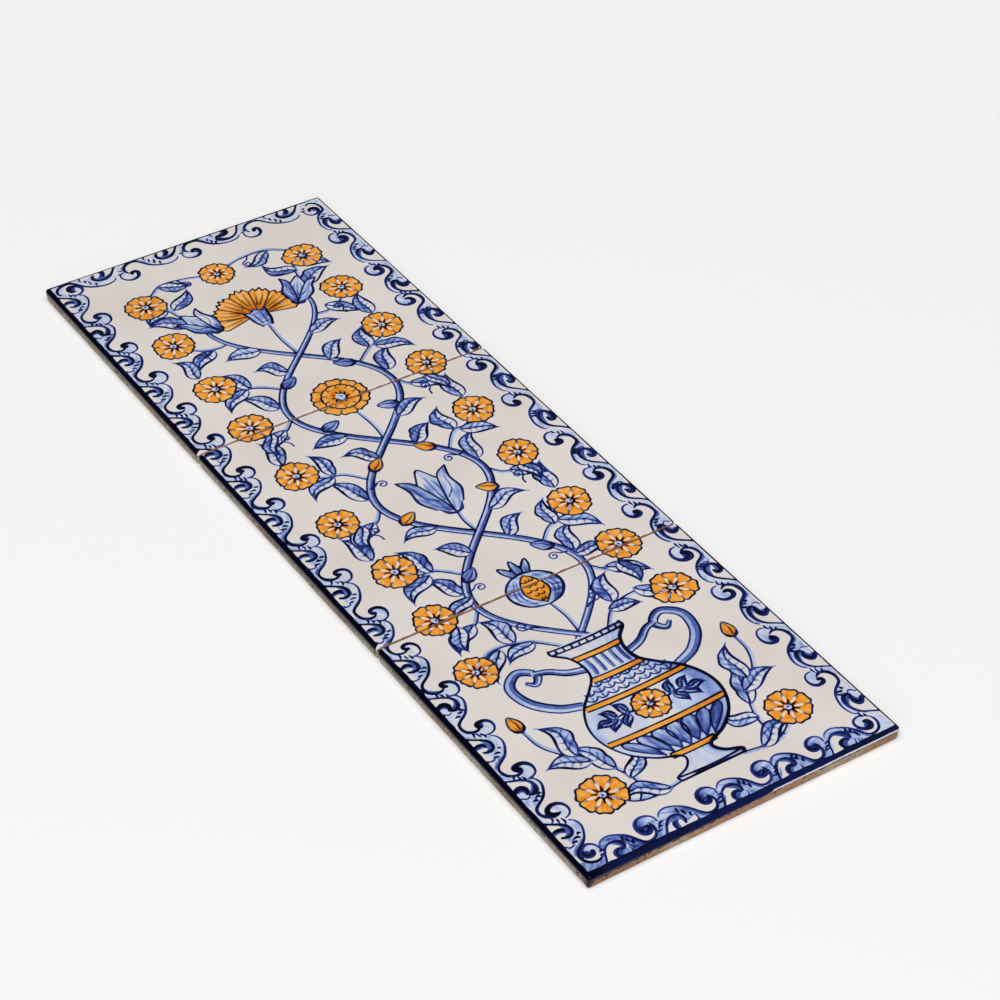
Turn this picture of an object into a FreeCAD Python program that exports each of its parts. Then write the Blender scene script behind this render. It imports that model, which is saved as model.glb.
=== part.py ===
# Azulejo panel: three square tiles of glazed red clay in a row, laid edge to edge under one painting.
# Millimetres. X runs across the panel, Y up the picture and Z out of the painted face.
# The origin is the middle of the panel's back, which is the face that it lies or is bedded on.
import FreeCAD, Part
import os
import Sketcher

# Driving dimensions: name, value and what it measures
SIZES = [
    ("TileSide", 150.0, "width and height of a tile's painted face"),
    ("TileThickness", 6.0, "from the back to the painted face"),
    ("JointWidth", 0.6, "open joint between two tiles"),
    ("CornerRadius", 1.6, "rounding of the four upright corners"),
    ("ArrisRadius", 1.0, "rounding of the glazed edge round the face"),
    ("BackArris", 0.4, "rounding of the bare edge round the back"),
    ("EdgeLean", 3.0, "degrees that the sides lean in towards the back, to leave the press"),
    ("BackRim", 9.0, "plain rim round the keyed field of the back"),
    ("GrooveWidth", 8.0, "width of a keying groove at the back face"),
    ("GrooveDepth", 0.8, "depth of a keying groove"),
    ("GrooveCorner", 2.0, "rounding of a groove's corners"),
    ("GrooveDraft", 20.0, "degrees that a groove narrows with its depth"),
    ("RibWidth", 8.0, "width of the rib left between two grooves"),
]

# Sizes that follow from the driving ones
DERIVED = [
    ("GroovePitch", "=GrooveWidth + RibWidth"),
    ("GrooveLength", "=TileSide - 2 * BackRim"),
    ("GrooveCount", "=floor((GrooveLength + RibWidth) / GroovePitch)"),
    ("GrooveSpan", "=(GrooveCount - 1) * GroovePitch"),
    ("BackSide", "=TileSide - 2 * (TileThickness - ArrisRadius) * tan(EdgeLean * 1 deg)"),
    ("TilePitch", "=TileSide + JointWidth"),
]

# Tiles of the panel, with their place in tiles from the middle one
TILES = [("tile_top", 1), ("tile_middle", 0), ("tile_bottom", -1)]


def make_sheet(doc):
    sheet = doc.addObject("Spreadsheet::Sheet", "Sizes")
    row = 1
    for alias, value, meaning in SIZES:
        sheet.set("A%d" % row, meaning)
        sheet.set("B%d" % row, str(value))
        sheet.setAlias("B%d" % row, alias)
        row += 1
    doc.recompute()
    for alias, formula in DERIVED:
        sheet.set("B%d" % row, formula)
        sheet.setAlias("B%d" % row, alias)
        doc.recompute()
        row += 1
    return sheet


def new_sketch(body, name):
    """A sketch on the body's own back plane."""
    sketch = body.newObject("Sketcher::SketchObject", name)
    back_plane = [plane for plane in body.Origin.OriginFeatures if plane.Role == "XY_Plane"][0]
    sketch.AttachmentSupport = (back_plane, [""])
    sketch.MapMode = "FlatFace"
    return sketch


def draw_rounded_rectangle(sketch, half_width, half_height, middle, corner):
    """Four sides and four corner arcs. Each size is a pair: its value now, and the cells that drive it."""
    w, h, y, r = half_width[0], half_height[0], middle[0], corner[0]
    low, high = y - h, y + h
    quarter = 1.5707963267948966
    point = lambda px, py: FreeCAD.Vector(px, py, 0)
    sides = [
        (point(-w + r, low), point(w - r, low)),
        (point(w, low + r), point(w, high - r)),
        (point(w - r, high), point(-w + r, high)),
        (point(-w, high - r), point(-w, low + r)),
    ]
    for start, end in sides:
        sketch.addGeometry(Part.LineSegment(start, end), False)
    # The arc after side i: bottom right, top right, top left, bottom left
    centres = [
        point(w - r, low + r),
        point(w - r, high - r),
        point(-w + r, high - r),
        point(-w + r, low + r),
    ]
    for i, centre in enumerate(centres):
        circle = Part.Circle(centre, FreeCAD.Vector(0, 0, 1), r)
        sketch.addGeometry(Part.ArcOfCircle(circle, (i - 1) * quarter, i * quarter), False)
    for i in range(4):
        arc, following = 4 + i, (i + 1) % 4
        sketch.addConstraint(Sketcher.Constraint("Tangent", i, 2, arc, 1))
        sketch.addConstraint(Sketcher.Constraint("Tangent", arc, 2, following, 1))
        sketch.addConstraint(Sketcher.Constraint("Horizontal" if i % 2 == 0 else "Vertical", i))
    for arc in (5, 6, 7):
        sketch.addConstraint(Sketcher.Constraint("Equal", 4, arc))
    top_cells = "%s + %s" % (middle[1], half_height[1])
    bottom_cells = "%s - %s" % (middle[1], half_height[1])
    driven = [
        ("Corner", Sketcher.Constraint("Radius", 4, r), corner[1]),
        ("Right", Sketcher.Constraint("DistanceX", -1, 1, 1, 1, w), half_width[1]),
        ("Left", Sketcher.Constraint("DistanceX", 3, 1, -1, 1, w), half_width[1]),
        ("Top", Sketcher.Constraint("DistanceY", -1, 1, 2, 1, high), top_cells),
        ("Bottom", Sketcher.Constraint("DistanceY", -1, 1, 0, 1, low), bottom_cells),
    ]
    for name, constraint, cells in driven:
        index = sketch.addConstraint(constraint)
        sketch.renameConstraint(index, name)
        sketch.setExpression("Constraints.%s" % name, cells)


def edges_at(shape, height):
    """Names of the edges that lie wholly at one height."""
    names = []
    for number, edge in enumerate(shape.Edges, 1):
        box = edge.BoundBox
        if abs(box.ZMin - height) < 1e-4 and abs(box.ZMax - height) < 1e-4:
            names.append("Edge%d" % number)
    return names


def make_tile(doc, sheet, label, place):
    body = doc.addObject("PartDesign::Body", label)
    body.Label = label

    # The pressed clay slab: a rounded square that widens from the back to the face
    outline = new_sketch(body, label + "_outline")
    half_back = (sheet.BackSide / 2, "Sizes.BackSide / 2")
    corner = (sheet.CornerRadius, "Sizes.CornerRadius")
    draw_rounded_rectangle(outline, half_back, half_back, (0.0, "0"), corner)
    slab = body.newObject("PartDesign::Pad", label + "_slab")
    slab.Profile = outline
    slab.setExpression("Length", "Sizes.TileThickness")
    slab.setExpression("TaperAngle", "Sizes.EdgeLean")
    doc.recompute()

    # The glazed edge that rolls over from the face to the sides
    face_edge = body.newObject("PartDesign::Fillet", label + "_face_edge")
    face_edge.Base = (slab, edges_at(slab.Shape, sheet.TileThickness))
    face_edge.setExpression("Radius", "Sizes.ArrisRadius")
    doc.recompute()

    back_edge = body.newObject("PartDesign::Fillet", label + "_back_edge")
    back_edge.Base = (face_edge, edges_at(face_edge.Shape, 0.0))
    back_edge.setExpression("Radius", "Sizes.BackArris")
    doc.recompute()

    # Keying grooves in the back, which the bedding mortar grips
    groove_outline = new_sketch(body, label + "_groove_outline")
    draw_rounded_rectangle(
        groove_outline,
        (sheet.GrooveLength / 2, "Sizes.GrooveLength / 2"),
        (sheet.GrooveWidth / 2, "Sizes.GrooveWidth / 2"),
        (-sheet.GrooveSpan / 2, "-Sizes.GrooveSpan / 2"),
        (sheet.GrooveCorner, "Sizes.GrooveCorner"),
    )
    groove = body.newObject("PartDesign::Pocket", label + "_groove")
    groove.Profile = groove_outline
    groove.Reversed = True
    groove.setExpression("Length", "Sizes.GrooveDepth")
    groove.setExpression("TaperAngle", "-Sizes.GrooveDraft")
    doc.recompute()
    if not groove.Shape.Volume < back_edge.Shape.Volume:
        raise RuntimeError("%s: the groove cut nothing" % label)

    grooves = body.newObject("PartDesign::LinearPattern", label + "_grooves")
    grooves.Originals = [groove]
    grooves.Direction = (groove_outline, ["V_Axis"])
    grooves.setExpression("Length", "Sizes.GrooveSpan")
    grooves.setExpression("Occurrences", "Sizes.GrooveCount")
    body.Tip = grooves

    body.setExpression("Placement.Base.y", "%d * Sizes.TilePitch" % place)
    doc.recompute()
    return body


def check(doc, tiles):
    for item in doc.Objects:
        if "Invalid" in item.State or "Error" in item.State:
            raise RuntimeError("%s failed: %s" % (item.Label, item.State))
    for tile in tiles:
        if tile.Shape.isNull() or not tile.Shape.isValid() or len(tile.Shape.Solids) != 1:
            raise RuntimeError("%s is not one valid solid" % tile.Label)


def main():
    doc = FreeCAD.newDocument("AzulejoPanel")
    sheet = make_sheet(doc)
    tiles = [make_tile(doc, sheet, label, place) for label, place in TILES]
    check(doc, tiles)
    os.makedirs("parts", exist_ok=True)
    for tile in tiles:
        tile.Shape.exportStep(os.path.join("parts", tile.Label + ".step"))
        box = tile.Shape.BoundBox
        print("%s: %.2f x %.2f x %.2f mm, from y %.2f, %.0f mm3" % (
            tile.Label, box.XLength, box.YLength, box.ZLength, box.YMin, tile.Shape.Volume))


main()
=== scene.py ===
from math import cos, hypot, pi, radians, sin
import bmesh
import bpy
import numpy as np
from mathutils import Matrix, Vector


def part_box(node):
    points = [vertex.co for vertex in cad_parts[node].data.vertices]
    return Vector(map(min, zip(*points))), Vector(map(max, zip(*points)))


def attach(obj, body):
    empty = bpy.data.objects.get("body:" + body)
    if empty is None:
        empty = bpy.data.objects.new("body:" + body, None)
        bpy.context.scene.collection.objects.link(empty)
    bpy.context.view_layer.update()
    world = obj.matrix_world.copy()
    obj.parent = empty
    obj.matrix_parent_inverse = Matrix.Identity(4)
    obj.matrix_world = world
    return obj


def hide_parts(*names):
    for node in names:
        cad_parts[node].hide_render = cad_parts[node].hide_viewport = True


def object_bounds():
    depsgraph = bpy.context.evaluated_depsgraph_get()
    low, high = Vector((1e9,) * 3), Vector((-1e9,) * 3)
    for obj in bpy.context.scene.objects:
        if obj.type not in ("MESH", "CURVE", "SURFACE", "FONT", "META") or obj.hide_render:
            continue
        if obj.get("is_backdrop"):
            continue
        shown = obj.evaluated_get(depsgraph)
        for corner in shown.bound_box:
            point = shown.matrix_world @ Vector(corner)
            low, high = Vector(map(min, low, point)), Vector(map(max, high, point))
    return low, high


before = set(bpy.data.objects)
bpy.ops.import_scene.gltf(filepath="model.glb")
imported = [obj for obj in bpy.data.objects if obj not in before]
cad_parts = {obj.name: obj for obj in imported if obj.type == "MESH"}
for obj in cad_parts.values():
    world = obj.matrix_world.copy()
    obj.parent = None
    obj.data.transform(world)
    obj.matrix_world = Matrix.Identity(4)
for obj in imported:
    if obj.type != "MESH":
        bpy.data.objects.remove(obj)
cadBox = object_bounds()
mm = 0.001
rng = np.random.default_rng(11)


def linear(hexColour):
    channels = [int(hexColour[i:i + 2], 16) / 255 for i in (0, 2, 4)]
    return [c / 12.92 if c <= 0.04045 else ((c + 0.055) / 1.055) ** 2.4 for c in channels]


def addNode(tree, kind, settings=None, inputs=None):
    node = tree.nodes.new(kind)
    for name, value in (settings or {}).items():
        setattr(node, name, value)
    for name, value in (inputs or {}).items():
        if isinstance(value, bpy.types.NodeSocket):
            tree.links.new(value, node.inputs[name])
        else:
            node.inputs[name].default_value = value
    return node


def setRamp(node, stops):
    ramp = node.color_ramp
    while len(ramp.elements) < len(stops):
        ramp.elements.new(1.0)
    for element, (place, colour) in zip(ramp.elements, stops):
        element.position = place
        element.color = (*colour, 1.0)


grainTable = np.random.default_rng(5).random((64, 64))
paintLayers = ("wash", "shade", "ochre", "line")
canvases = []
finestHalf = 0.42        # half the width in mm below which a stroke only gets paler
brushStreak = 0.16       # how much a stroke varies in strength across and along it
brushSway = 0.3          # how much it varies in width along it


# a tile's sheet of paint: for each layer, mm inside the nearest stroke and the strength of its colour
def newCanvas(xs, ys):
    canvas = {"xs": xs, "ys": ys}
    canvas["x"], canvas["y"] = np.meshgrid(xs, ys)
    for layer in paintLayers:
        canvas[layer] = np.full(canvas["x"].shape, -9.0)
        canvas[layer + "Tone"] = np.zeros(canvas["x"].shape)
    canvases.append(canvas)


# smooth value noise, one cell wide per unit of u and v
def grain(u, v):
    u, v = np.asarray(u, float), np.asarray(v, float)
    iu, iv = np.floor(u).astype(int), np.floor(v).astype(int)
    fu, fv = u - iu, v - iv
    fu, fv = fu * fu * (3 - 2 * fu), fv * fv * (3 - 2 * fv)
    a, b = grainTable[iv % 64, iu % 64], grainTable[iv % 64, (iu + 1) % 64]
    c, d = grainTable[(iv + 1) % 64, iu % 64], grainTable[(iv + 1) % 64, (iu + 1) % 64]
    return (a * (1 - fu) + b * fu) * (1 - fv) + (c * (1 - fu) + d * fu) * fv - 0.5


# smooth line through a few points
def bend(points, steps=6):
    p = np.asarray(points, float)
    if len(p) == 2:
        t = np.linspace(0, 1, steps + 1)[:, None]
        return p[0] * (1 - t) + p[1] * t
    ends = np.vstack([2 * p[0] - p[1], p, 2 * p[-1] - p[-2]])
    t = np.linspace(0, 1, steps, endpoint=False)[:, None]
    runs = []
    for a, b, c, d in zip(ends[:-3], ends[1:-2], ends[2:-1], ends[3:]):
        runs.append(0.5 * (2 * b + (c - a) * t + (2 * a - 5 * b + 4 * c - d) * t ** 2
                           + (3 * b - a - 3 * c + d) * t ** 3))
    return np.vstack(runs + [p[-1:]])


# the same, back to where it began
def closed(points, steps):
    return bend(points + points[:1], steps)


# points of a motif, drawn round its own origin, set in their place
def put(points, at=(0, 0), turn=0, size=1, flip=False):
    p = np.array(points, float) * size
    if flip:
        p[:, 0] = -p[:, 0]
    c, s = cos(radians(turn)), sin(radians(turn))
    return np.stack([p[:, 0] * c - p[:, 1] * s + at[0], p[:, 0] * s + p[:, 1] * c + at[1]], axis=1)


# part of a circle, or of a spiral that ends at another radius
def arc(centre, radius, fromAngle, toAngle, steps=12, endRadius=None):
    a = np.radians(np.linspace(fromAngle, toAngle, steps + 1))
    r = np.linspace(radius, radius if endRadius is None else endRadius, steps + 1)
    return np.stack([centre[0] + r * np.cos(a), centre[1] + r * np.sin(a)], axis=1)


# the parts of the sheets that lie within reach of some points
def windows(points, reach):
    low, high = points.min(0) - reach, points.max(0) + reach
    for canvas in canvases:
        i, k = np.searchsorted(canvas["xs"], (low[0], high[0]))
        j, m = np.searchsorted(canvas["ys"], (low[1], high[1]))
        if k > i and m > j:
            yield canvas, (slice(j, m), slice(i, k))


# colour over what is there: the later stroke gives the strength
def lay(canvas, layer, at, inside, tone):
    old = canvas[layer][at]
    canvas[layer + "Tone"][at] = np.where((inside > 0) | (inside > old), tone, canvas[layer + "Tone"][at])
    canvas[layer][at] = np.maximum(old, inside)


# from each spot to each run of a line: the share along it, the distance and the side
def nearest(x, y, a, b):
    run = b - a
    length2 = np.maximum((run ** 2).sum(1), 1e-9)
    px, py = x[None] - a[:, :1], y[None] - a[:, 1:]
    t = np.clip((px * run[:, :1] + py * run[:, 1:]) / length2[:, None], 0, 1)
    gap = np.hypot(px - t * run[:, :1], py - t * run[:, 1:])
    side = np.sign(run[:, :1] * py - run[:, 1:] * px)
    return t, gap, side


# one brush stroke: width in mm, press is the brush's pressure from start to end
def stroke(path, width, press=(0.25, 1, 0.25), tone=0.9, layer="line", streak=brushStreak):
    path = np.asarray(path, float)
    t = np.linspace(0, 1, len(path))
    seed = rng.random() * 40
    length = np.hypot(*np.diff(path, axis=0).T).sum()
    sway = 1 + brushSway * grain(t * length / 5 + seed, t * 0 + seed)
    half = width / 2 * np.interp(t, np.linspace(0, 1, len(press)), press) * sway
    thin = np.minimum(half / finestHalf, 1) ** 0.6
    half = np.maximum(half, finestHalf)
    pieces = max(1, len(path) // 14)
    cuts = np.linspace(0, len(path) - 1, pieces + 1).round().astype(int)
    for start, end in zip(cuts[:-1], cuts[1:]):
        run, wide = path[start:end + 1], half[start:end + 1]
        for canvas, at in windows(run, width / 2 + 1.2):
            x, y = canvas["x"][at].ravel(), canvas["y"][at].ravel()
            along, gap, side = nearest(x, y, run[:-1], run[1:])
            inside = wide[:-1, None] * (1 - along) + wide[1:, None] * along - gap
            pick = inside.argmax(0)
            n = np.arange(len(x))
            u = (start + pick + along[pick, n]) / (len(path) - 1)
            v = side[pick, n] * gap[pick, n]
            shade = np.interp(u, np.linspace(0, 1, np.size(tone)), np.atleast_1d(tone))
            shade = shade * np.interp(u, t, thin) + streak * grain(v / 0.75 + seed, u * length / 6 + seed)
            shape = canvas["x"][at].shape
            lay(canvas, layer, at, inside[pick, n].reshape(shape), shade.reshape(shape))


# distance in mm to a closed ring, above 0 inside it
def fieldOf(ring, x, y):
    a, b = ring, np.roll(ring, -1, axis=0)
    gap = nearest(x, y, a, b)[1].min(0)
    rise = b[:, 1:] - a[:, 1:]
    rise = np.where(np.abs(rise) < 1e-9, 1e-9, rise)
    crosses = ((a[:, 1:] > y[None]) != (b[:, 1:] > y[None]))
    crosses &= x[None] < (b[:, :1] - a[:, :1]) * (y[None] - a[:, 1:]) / rise + a[:, :1]
    return np.where(crosses.sum(0) % 2 == 1, gap, -gap)


# a washed patch inside a closed ring; tone is a number or a function of x, y and depth inside the edge
def patch(ring, tone=0.5, layer="wash", pool=0.12):
    ring = np.asarray(ring, float)
    for canvas, at in windows(ring, 1.2):
        x, y = canvas["x"][at].ravel(), canvas["y"][at].ravel()
        inside = fieldOf(ring, x, y)
        value = tone(x, y, inside) if callable(tone) else np.full(len(x), float(tone))
        value = value + pool * np.exp(-np.abs(inside) / 0.5)
        shape = canvas["x"][at].shape
        lay(canvas, layer, at, inside.reshape(shape), value.reshape(shape))


# bare glaze inside a ring, for what lies in front of earlier strokes
def wipe(ring, margin):
    ring = np.asarray(ring, float)
    for canvas, at in windows(ring, 1.5):
        x, y = canvas["x"][at].ravel(), canvas["y"][at].ravel()
        inside = (fieldOf(ring, x, y) + margin).reshape(canvas["x"][at].shape)
        for layer in paintLayers:
            canvas[layer][at] = np.minimum(canvas[layer][at], -inside)


# tone that changes from one point to another, with the brush's streaks along that way
def sweep(start, end, tones, streak=0.12, width=0.8):
    start, end = np.asarray(start, float), np.asarray(end, float)
    run = end - start
    length = hypot(*run)
    run = run / length
    seed = rng.random() * 40

    def tone(x, y, inside):
        along = (x - start[0]) * run[0] + (y - start[1]) * run[1]
        across = (y - start[1]) * run[0] - (x - start[0]) * run[1]
        value = np.interp(along / length, np.linspace(0, 1, len(tones)), tones)
        return value + streak * 3 * grain(across / width + seed, along / (6 * width) + seed)
    return tone


# the same between two points of a motif
def fade(place, start, end, *looks):
    return sweep(*place([start, end]), *looks)


# a washed form that hides what lies behind it
def cover(ring, margin, tone, layer="wash", pool=0.12):
    wipe(ring, margin)
    patch(ring, tone, layer, pool)


# a gap of bare glaze along a path
def wipeAlong(path, width):
    path = np.asarray(path, float)
    for canvas, at in windows(path, width / 2 + 1.5):
        x, y = canvas["x"][at].ravel(), canvas["y"][at].ravel()
        gap = nearest(x, y, path[:-1], path[1:])[1].min(0)
        inside = (width / 2 - gap).reshape(canvas["x"][at].shape)
        for layer in paintLayers:
            canvas[layer][at] = np.minimum(canvas[layer][at], -inside)


# running wave scroll, in mm from the panel's outer edge: each side has its own hand
border = {"firstTrough": 4.0, "lastTrough": 11.0, "drawnPitch": 28.2, "frontTaper": (1.45, 1.15),
          "frontAt": (-75, -71, -66, -40, 0, 20, 75),
          "frontTone": (1.0, 1.0, 0.97, 0.96, 0.946, 0.94, 0.97),
          "lagAt": (0, 4.4, 9, 13.7, 18.7, 22.7, 26, 28.2),
          "lagShare": (0.4, 0.5, 0.62, 0.9, 0.95, 0.75, 0.5, 0.4)}
# unit, lag and drop: a wave's length, how far it leans and how far it sinks, in mm; heavy and rounds: shares
# of the forms; wash, line and brush: strength of the washes, strength and width of the lines
sideLooks = {
    "front": {"unit": 28.4, "edgeLine": 2.3, "drop": 0.1, "rise": 1.12, "hookRise": 1.0, "wash": 0.46,
              "line": 0.875, "heavy": 0.8, "rounds": 1.0, "plain": "light", "lag": 0.5, "brush": 1.0},
    "right": {"unit": 30.8, "edgeLine": 1.25, "drop": 0.3, "rise": 0.92, "hookRise": 0.97, "wash": 0.2,
              "line": 0.93, "heavy": 0.4, "rounds": 0.75, "plain": "snail", "lag": 3.0, "brush": 1.25},
    "far": {"unit": 33.0, "edgeLine": 1.5, "drop": 1.6, "rise": 1.04, "hookRise": 1.0, "wash": 0.12,
            "line": 0.97, "heavy": 0.2, "rounds": 0.3, "plain": "light", "lag": 1.6, "brush": 1.16},
    "left": {"unit": 27.2, "edgeLine": 2.15, "drop": 0.0, "rise": 1.0, "hookRise": 1.0, "wash": 0.18,
             "line": 0.98, "heavy": 0.12, "rounds": 0.1, "plain": "light", "lag": 0.0, "brush": 1.14},
}


# slow unsteadiness of the hand along a few points
def wobble(points, by=0.22):
    n = len(points)
    knots = np.linspace(0, n - 1, 4)
    drift = [np.interp(np.arange(n), knots, rng.normal(0, by, 4)) for axis in range(2)]
    return np.asarray(points, float) + np.stack(drift, axis=1)


# how far along its side a point stands, where a side's waves lean over
def lagging(x, look):
    return x + look["lag"] * np.interp(np.mod(x, border["drawnPitch"]), border["lagAt"], border["lagShare"])


# the three forms of the hook that rises from a trough and curls back over it, in mm from the trough
hookForms = {
    "open": {
        "head": [(8.7, 10.6), (8.9, 12.4), (8.2, 14.2), (6.8, 15.3), (4.8, 15.8), (2.8, 15.4), (1.3, 14.1),
                 (0.7, 12.4), (0.8, 10.8), (1.7, 9.9), (2.9, 10.2), (3.3, 11.3)],
        "press": (0.45, 0.5, 0.55, 0.65, 0.85, 1.05, 1.15, 1.2, 1.25, 1.25, 1.15),
        "inside": [(3.0, 11.0), (4.6, 10.6)],
        "core": [(1.2, 13.0), (2.6, 12.6), (4.2, 11.6), (4.0, 10.2), (2.4, 9.6), (0.9, 10.8)],
        "neck": [(2.2, 3.7), (4.1, 4.8), (5.1, 6.8), (5.5, 8.5), (5.0, 10.3), (6.6, 12), (8.6, 11),
                 (9.4, 10.2), (9.6, 7.0), (8.1, 4.8), (5.9, 2.0), (0.5, 2.0)]},
    "round": {
        "head": [(7.7, 10.8), (7.7, 12.6), (6.6, 14.3), (4.7, 15.3), (2.4, 15.2), (0.5, 14.0),
                 (-0.6, 12.1), (-0.6, 10.1), (0.2, 8.5), (1.6, 7.9), (2.9, 8.3), (3.7, 9.4), (3.7, 10.6)],
        "press": (0.4, 0.5, 0.55, 0.65, 0.8, 0.95, 1.1, 1.25, 1.4, 1.5, 1.45, 1.2, 0.7),
        "inside": [(1.4, 9.8), (2.8, 10.0), (3.8, 11.2), (5.4, 10.8)],
        "core": [(-0.2, 12.0), (1.4, 11.4), (3.1, 11.2), (3.5, 9.6), (1.8, 8.4), (-0.2, 9.2)],
        "neck": [(0.5, 3.7), (2.6, 4.2), (4.2, 5.4), (4.9, 7.2), (5.0, 9.2), (4.4, 10.6), (6.4, 11.6),
                 (8.4, 11), (9.2, 10.2), (9.6, 7.0), (8.1, 4.8), (5.9, 2.0), (-0.5, 2.0)]},
    "corner": {
        "head": [(8.0, 9.4), (8.5, 11.2), (7.8, 13.4), (6.2, 14.8), (4.2, 14.9), (2.2, 13.7), (1.2, 11.7),
                 (1.6, 10.0), (3.2, 9.2), (4.9, 9.7), (5.4, 11.0)],
        "press": (0.45, 0.55, 0.65, 0.8, 0.95, 1.1, 1.25, 1.35, 1.3, 1.1),
        "inside": [],
        "core": [(1.2, 13.0), (2.6, 12.6), (4.2, 11.6), (4.0, 10.2), (2.4, 9.6), (0.9, 10.8)],
        "neck": [(0.2, 8.2), (1.9, 6.0), (4.4, 5.6), (6.4, 6.8), (8.0, 9.2), (9.0, 10), (8.6, 7),
                 (6.0, 2.6), (-2.6, 2.0), (-2.8, 8.4)]},
}
troughLine = 3             # mm from the edge at which a wave's height changes nothing
hookTicks = [((9.7, 9.5), (8.4, 9.6), (7.1, 9.2)), ((8.2, 7.8), (7.3, 7.8), (6.3, 7.4)),
             ((7.0, 5.7), (5.9, 6.0), (4.9, 5.9))]


def waveHook(place, look, trough, isCorner):
    form = "corner" if isCorner else "round" if rng.random() < look["rounds"] else "open"
    hook = hookForms[form]
    wash = look["wash"] * rng.uniform(0.75, 1.2)
    dark = look["line"]

    def shift(points):
        x, y = np.asarray(points, float).T
        return np.stack([lagging(x, look) + trough,
                         (y - troughLine) * look["hookRise"] + troughLine - look["drop"]], axis=1)

    spot = lambda point: place(shift([point]))[0]
    drawn = lambda points, steps=6: place(bend(shift(points), steps))
    size, lean = rng.uniform(0.9, 1.1), rng.normal(0, 7)
    head = wobble(hook["head"], 0.2)
    if not isCorner:
        head = put(head - (6, 10), (6, 10), lean, size)
    neckTone = sweep(spot((2, 2)), spot((8, 11)), (wash * 1.35, wash, wash * 0.7), 0.12)
    patch(place(shift(hook["neck"])), neckTone)
    inside = np.vstack([head[:9], hook["inside"]]) if hook["inside"] else head
    headTone = sweep(spot((8, 13)), spot((0.5, 10)), (wash * 0.5, wash * 0.95, wash * 1.7), 0.12)
    patch(drawn(inside, 3), headTone)
    if isCorner or rng.random() < look["heavy"] + 0.25:
        core = hook["core"] + hook["core"][:1]
        patch(drawn(core, 4), 0.62 + 0.2 * rng.random(), "shade", 0.05)
    if form == "open" and rng.random() < look["heavy"] + 0.2:
        rising = [(-1.0, 3.9), (1.8, 4.0), (3.6, 5.1), (4.6, 7.0), (4.6, 9.2)]
        stroke(drawn(rising), 2.2, (0.3, 0.8, 1, 0.9, 0.3), (0.45, 0.7, 0.5), "shade", 0.12)
    press = look["brush"] * rng.uniform(0.92, 1.15)
    stroke(drawn(head), 1.5 * press, hook["press"], (dark * 0.85, dark * 0.92, dark, 1.0))
    for tick in hookTicks[:2] if isCorner else hookTicks:
        stroke(drawn(wobble(tick, 0.2), 3), 1.05, (0.5, 1.1, 0.45), 0.97)


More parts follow.
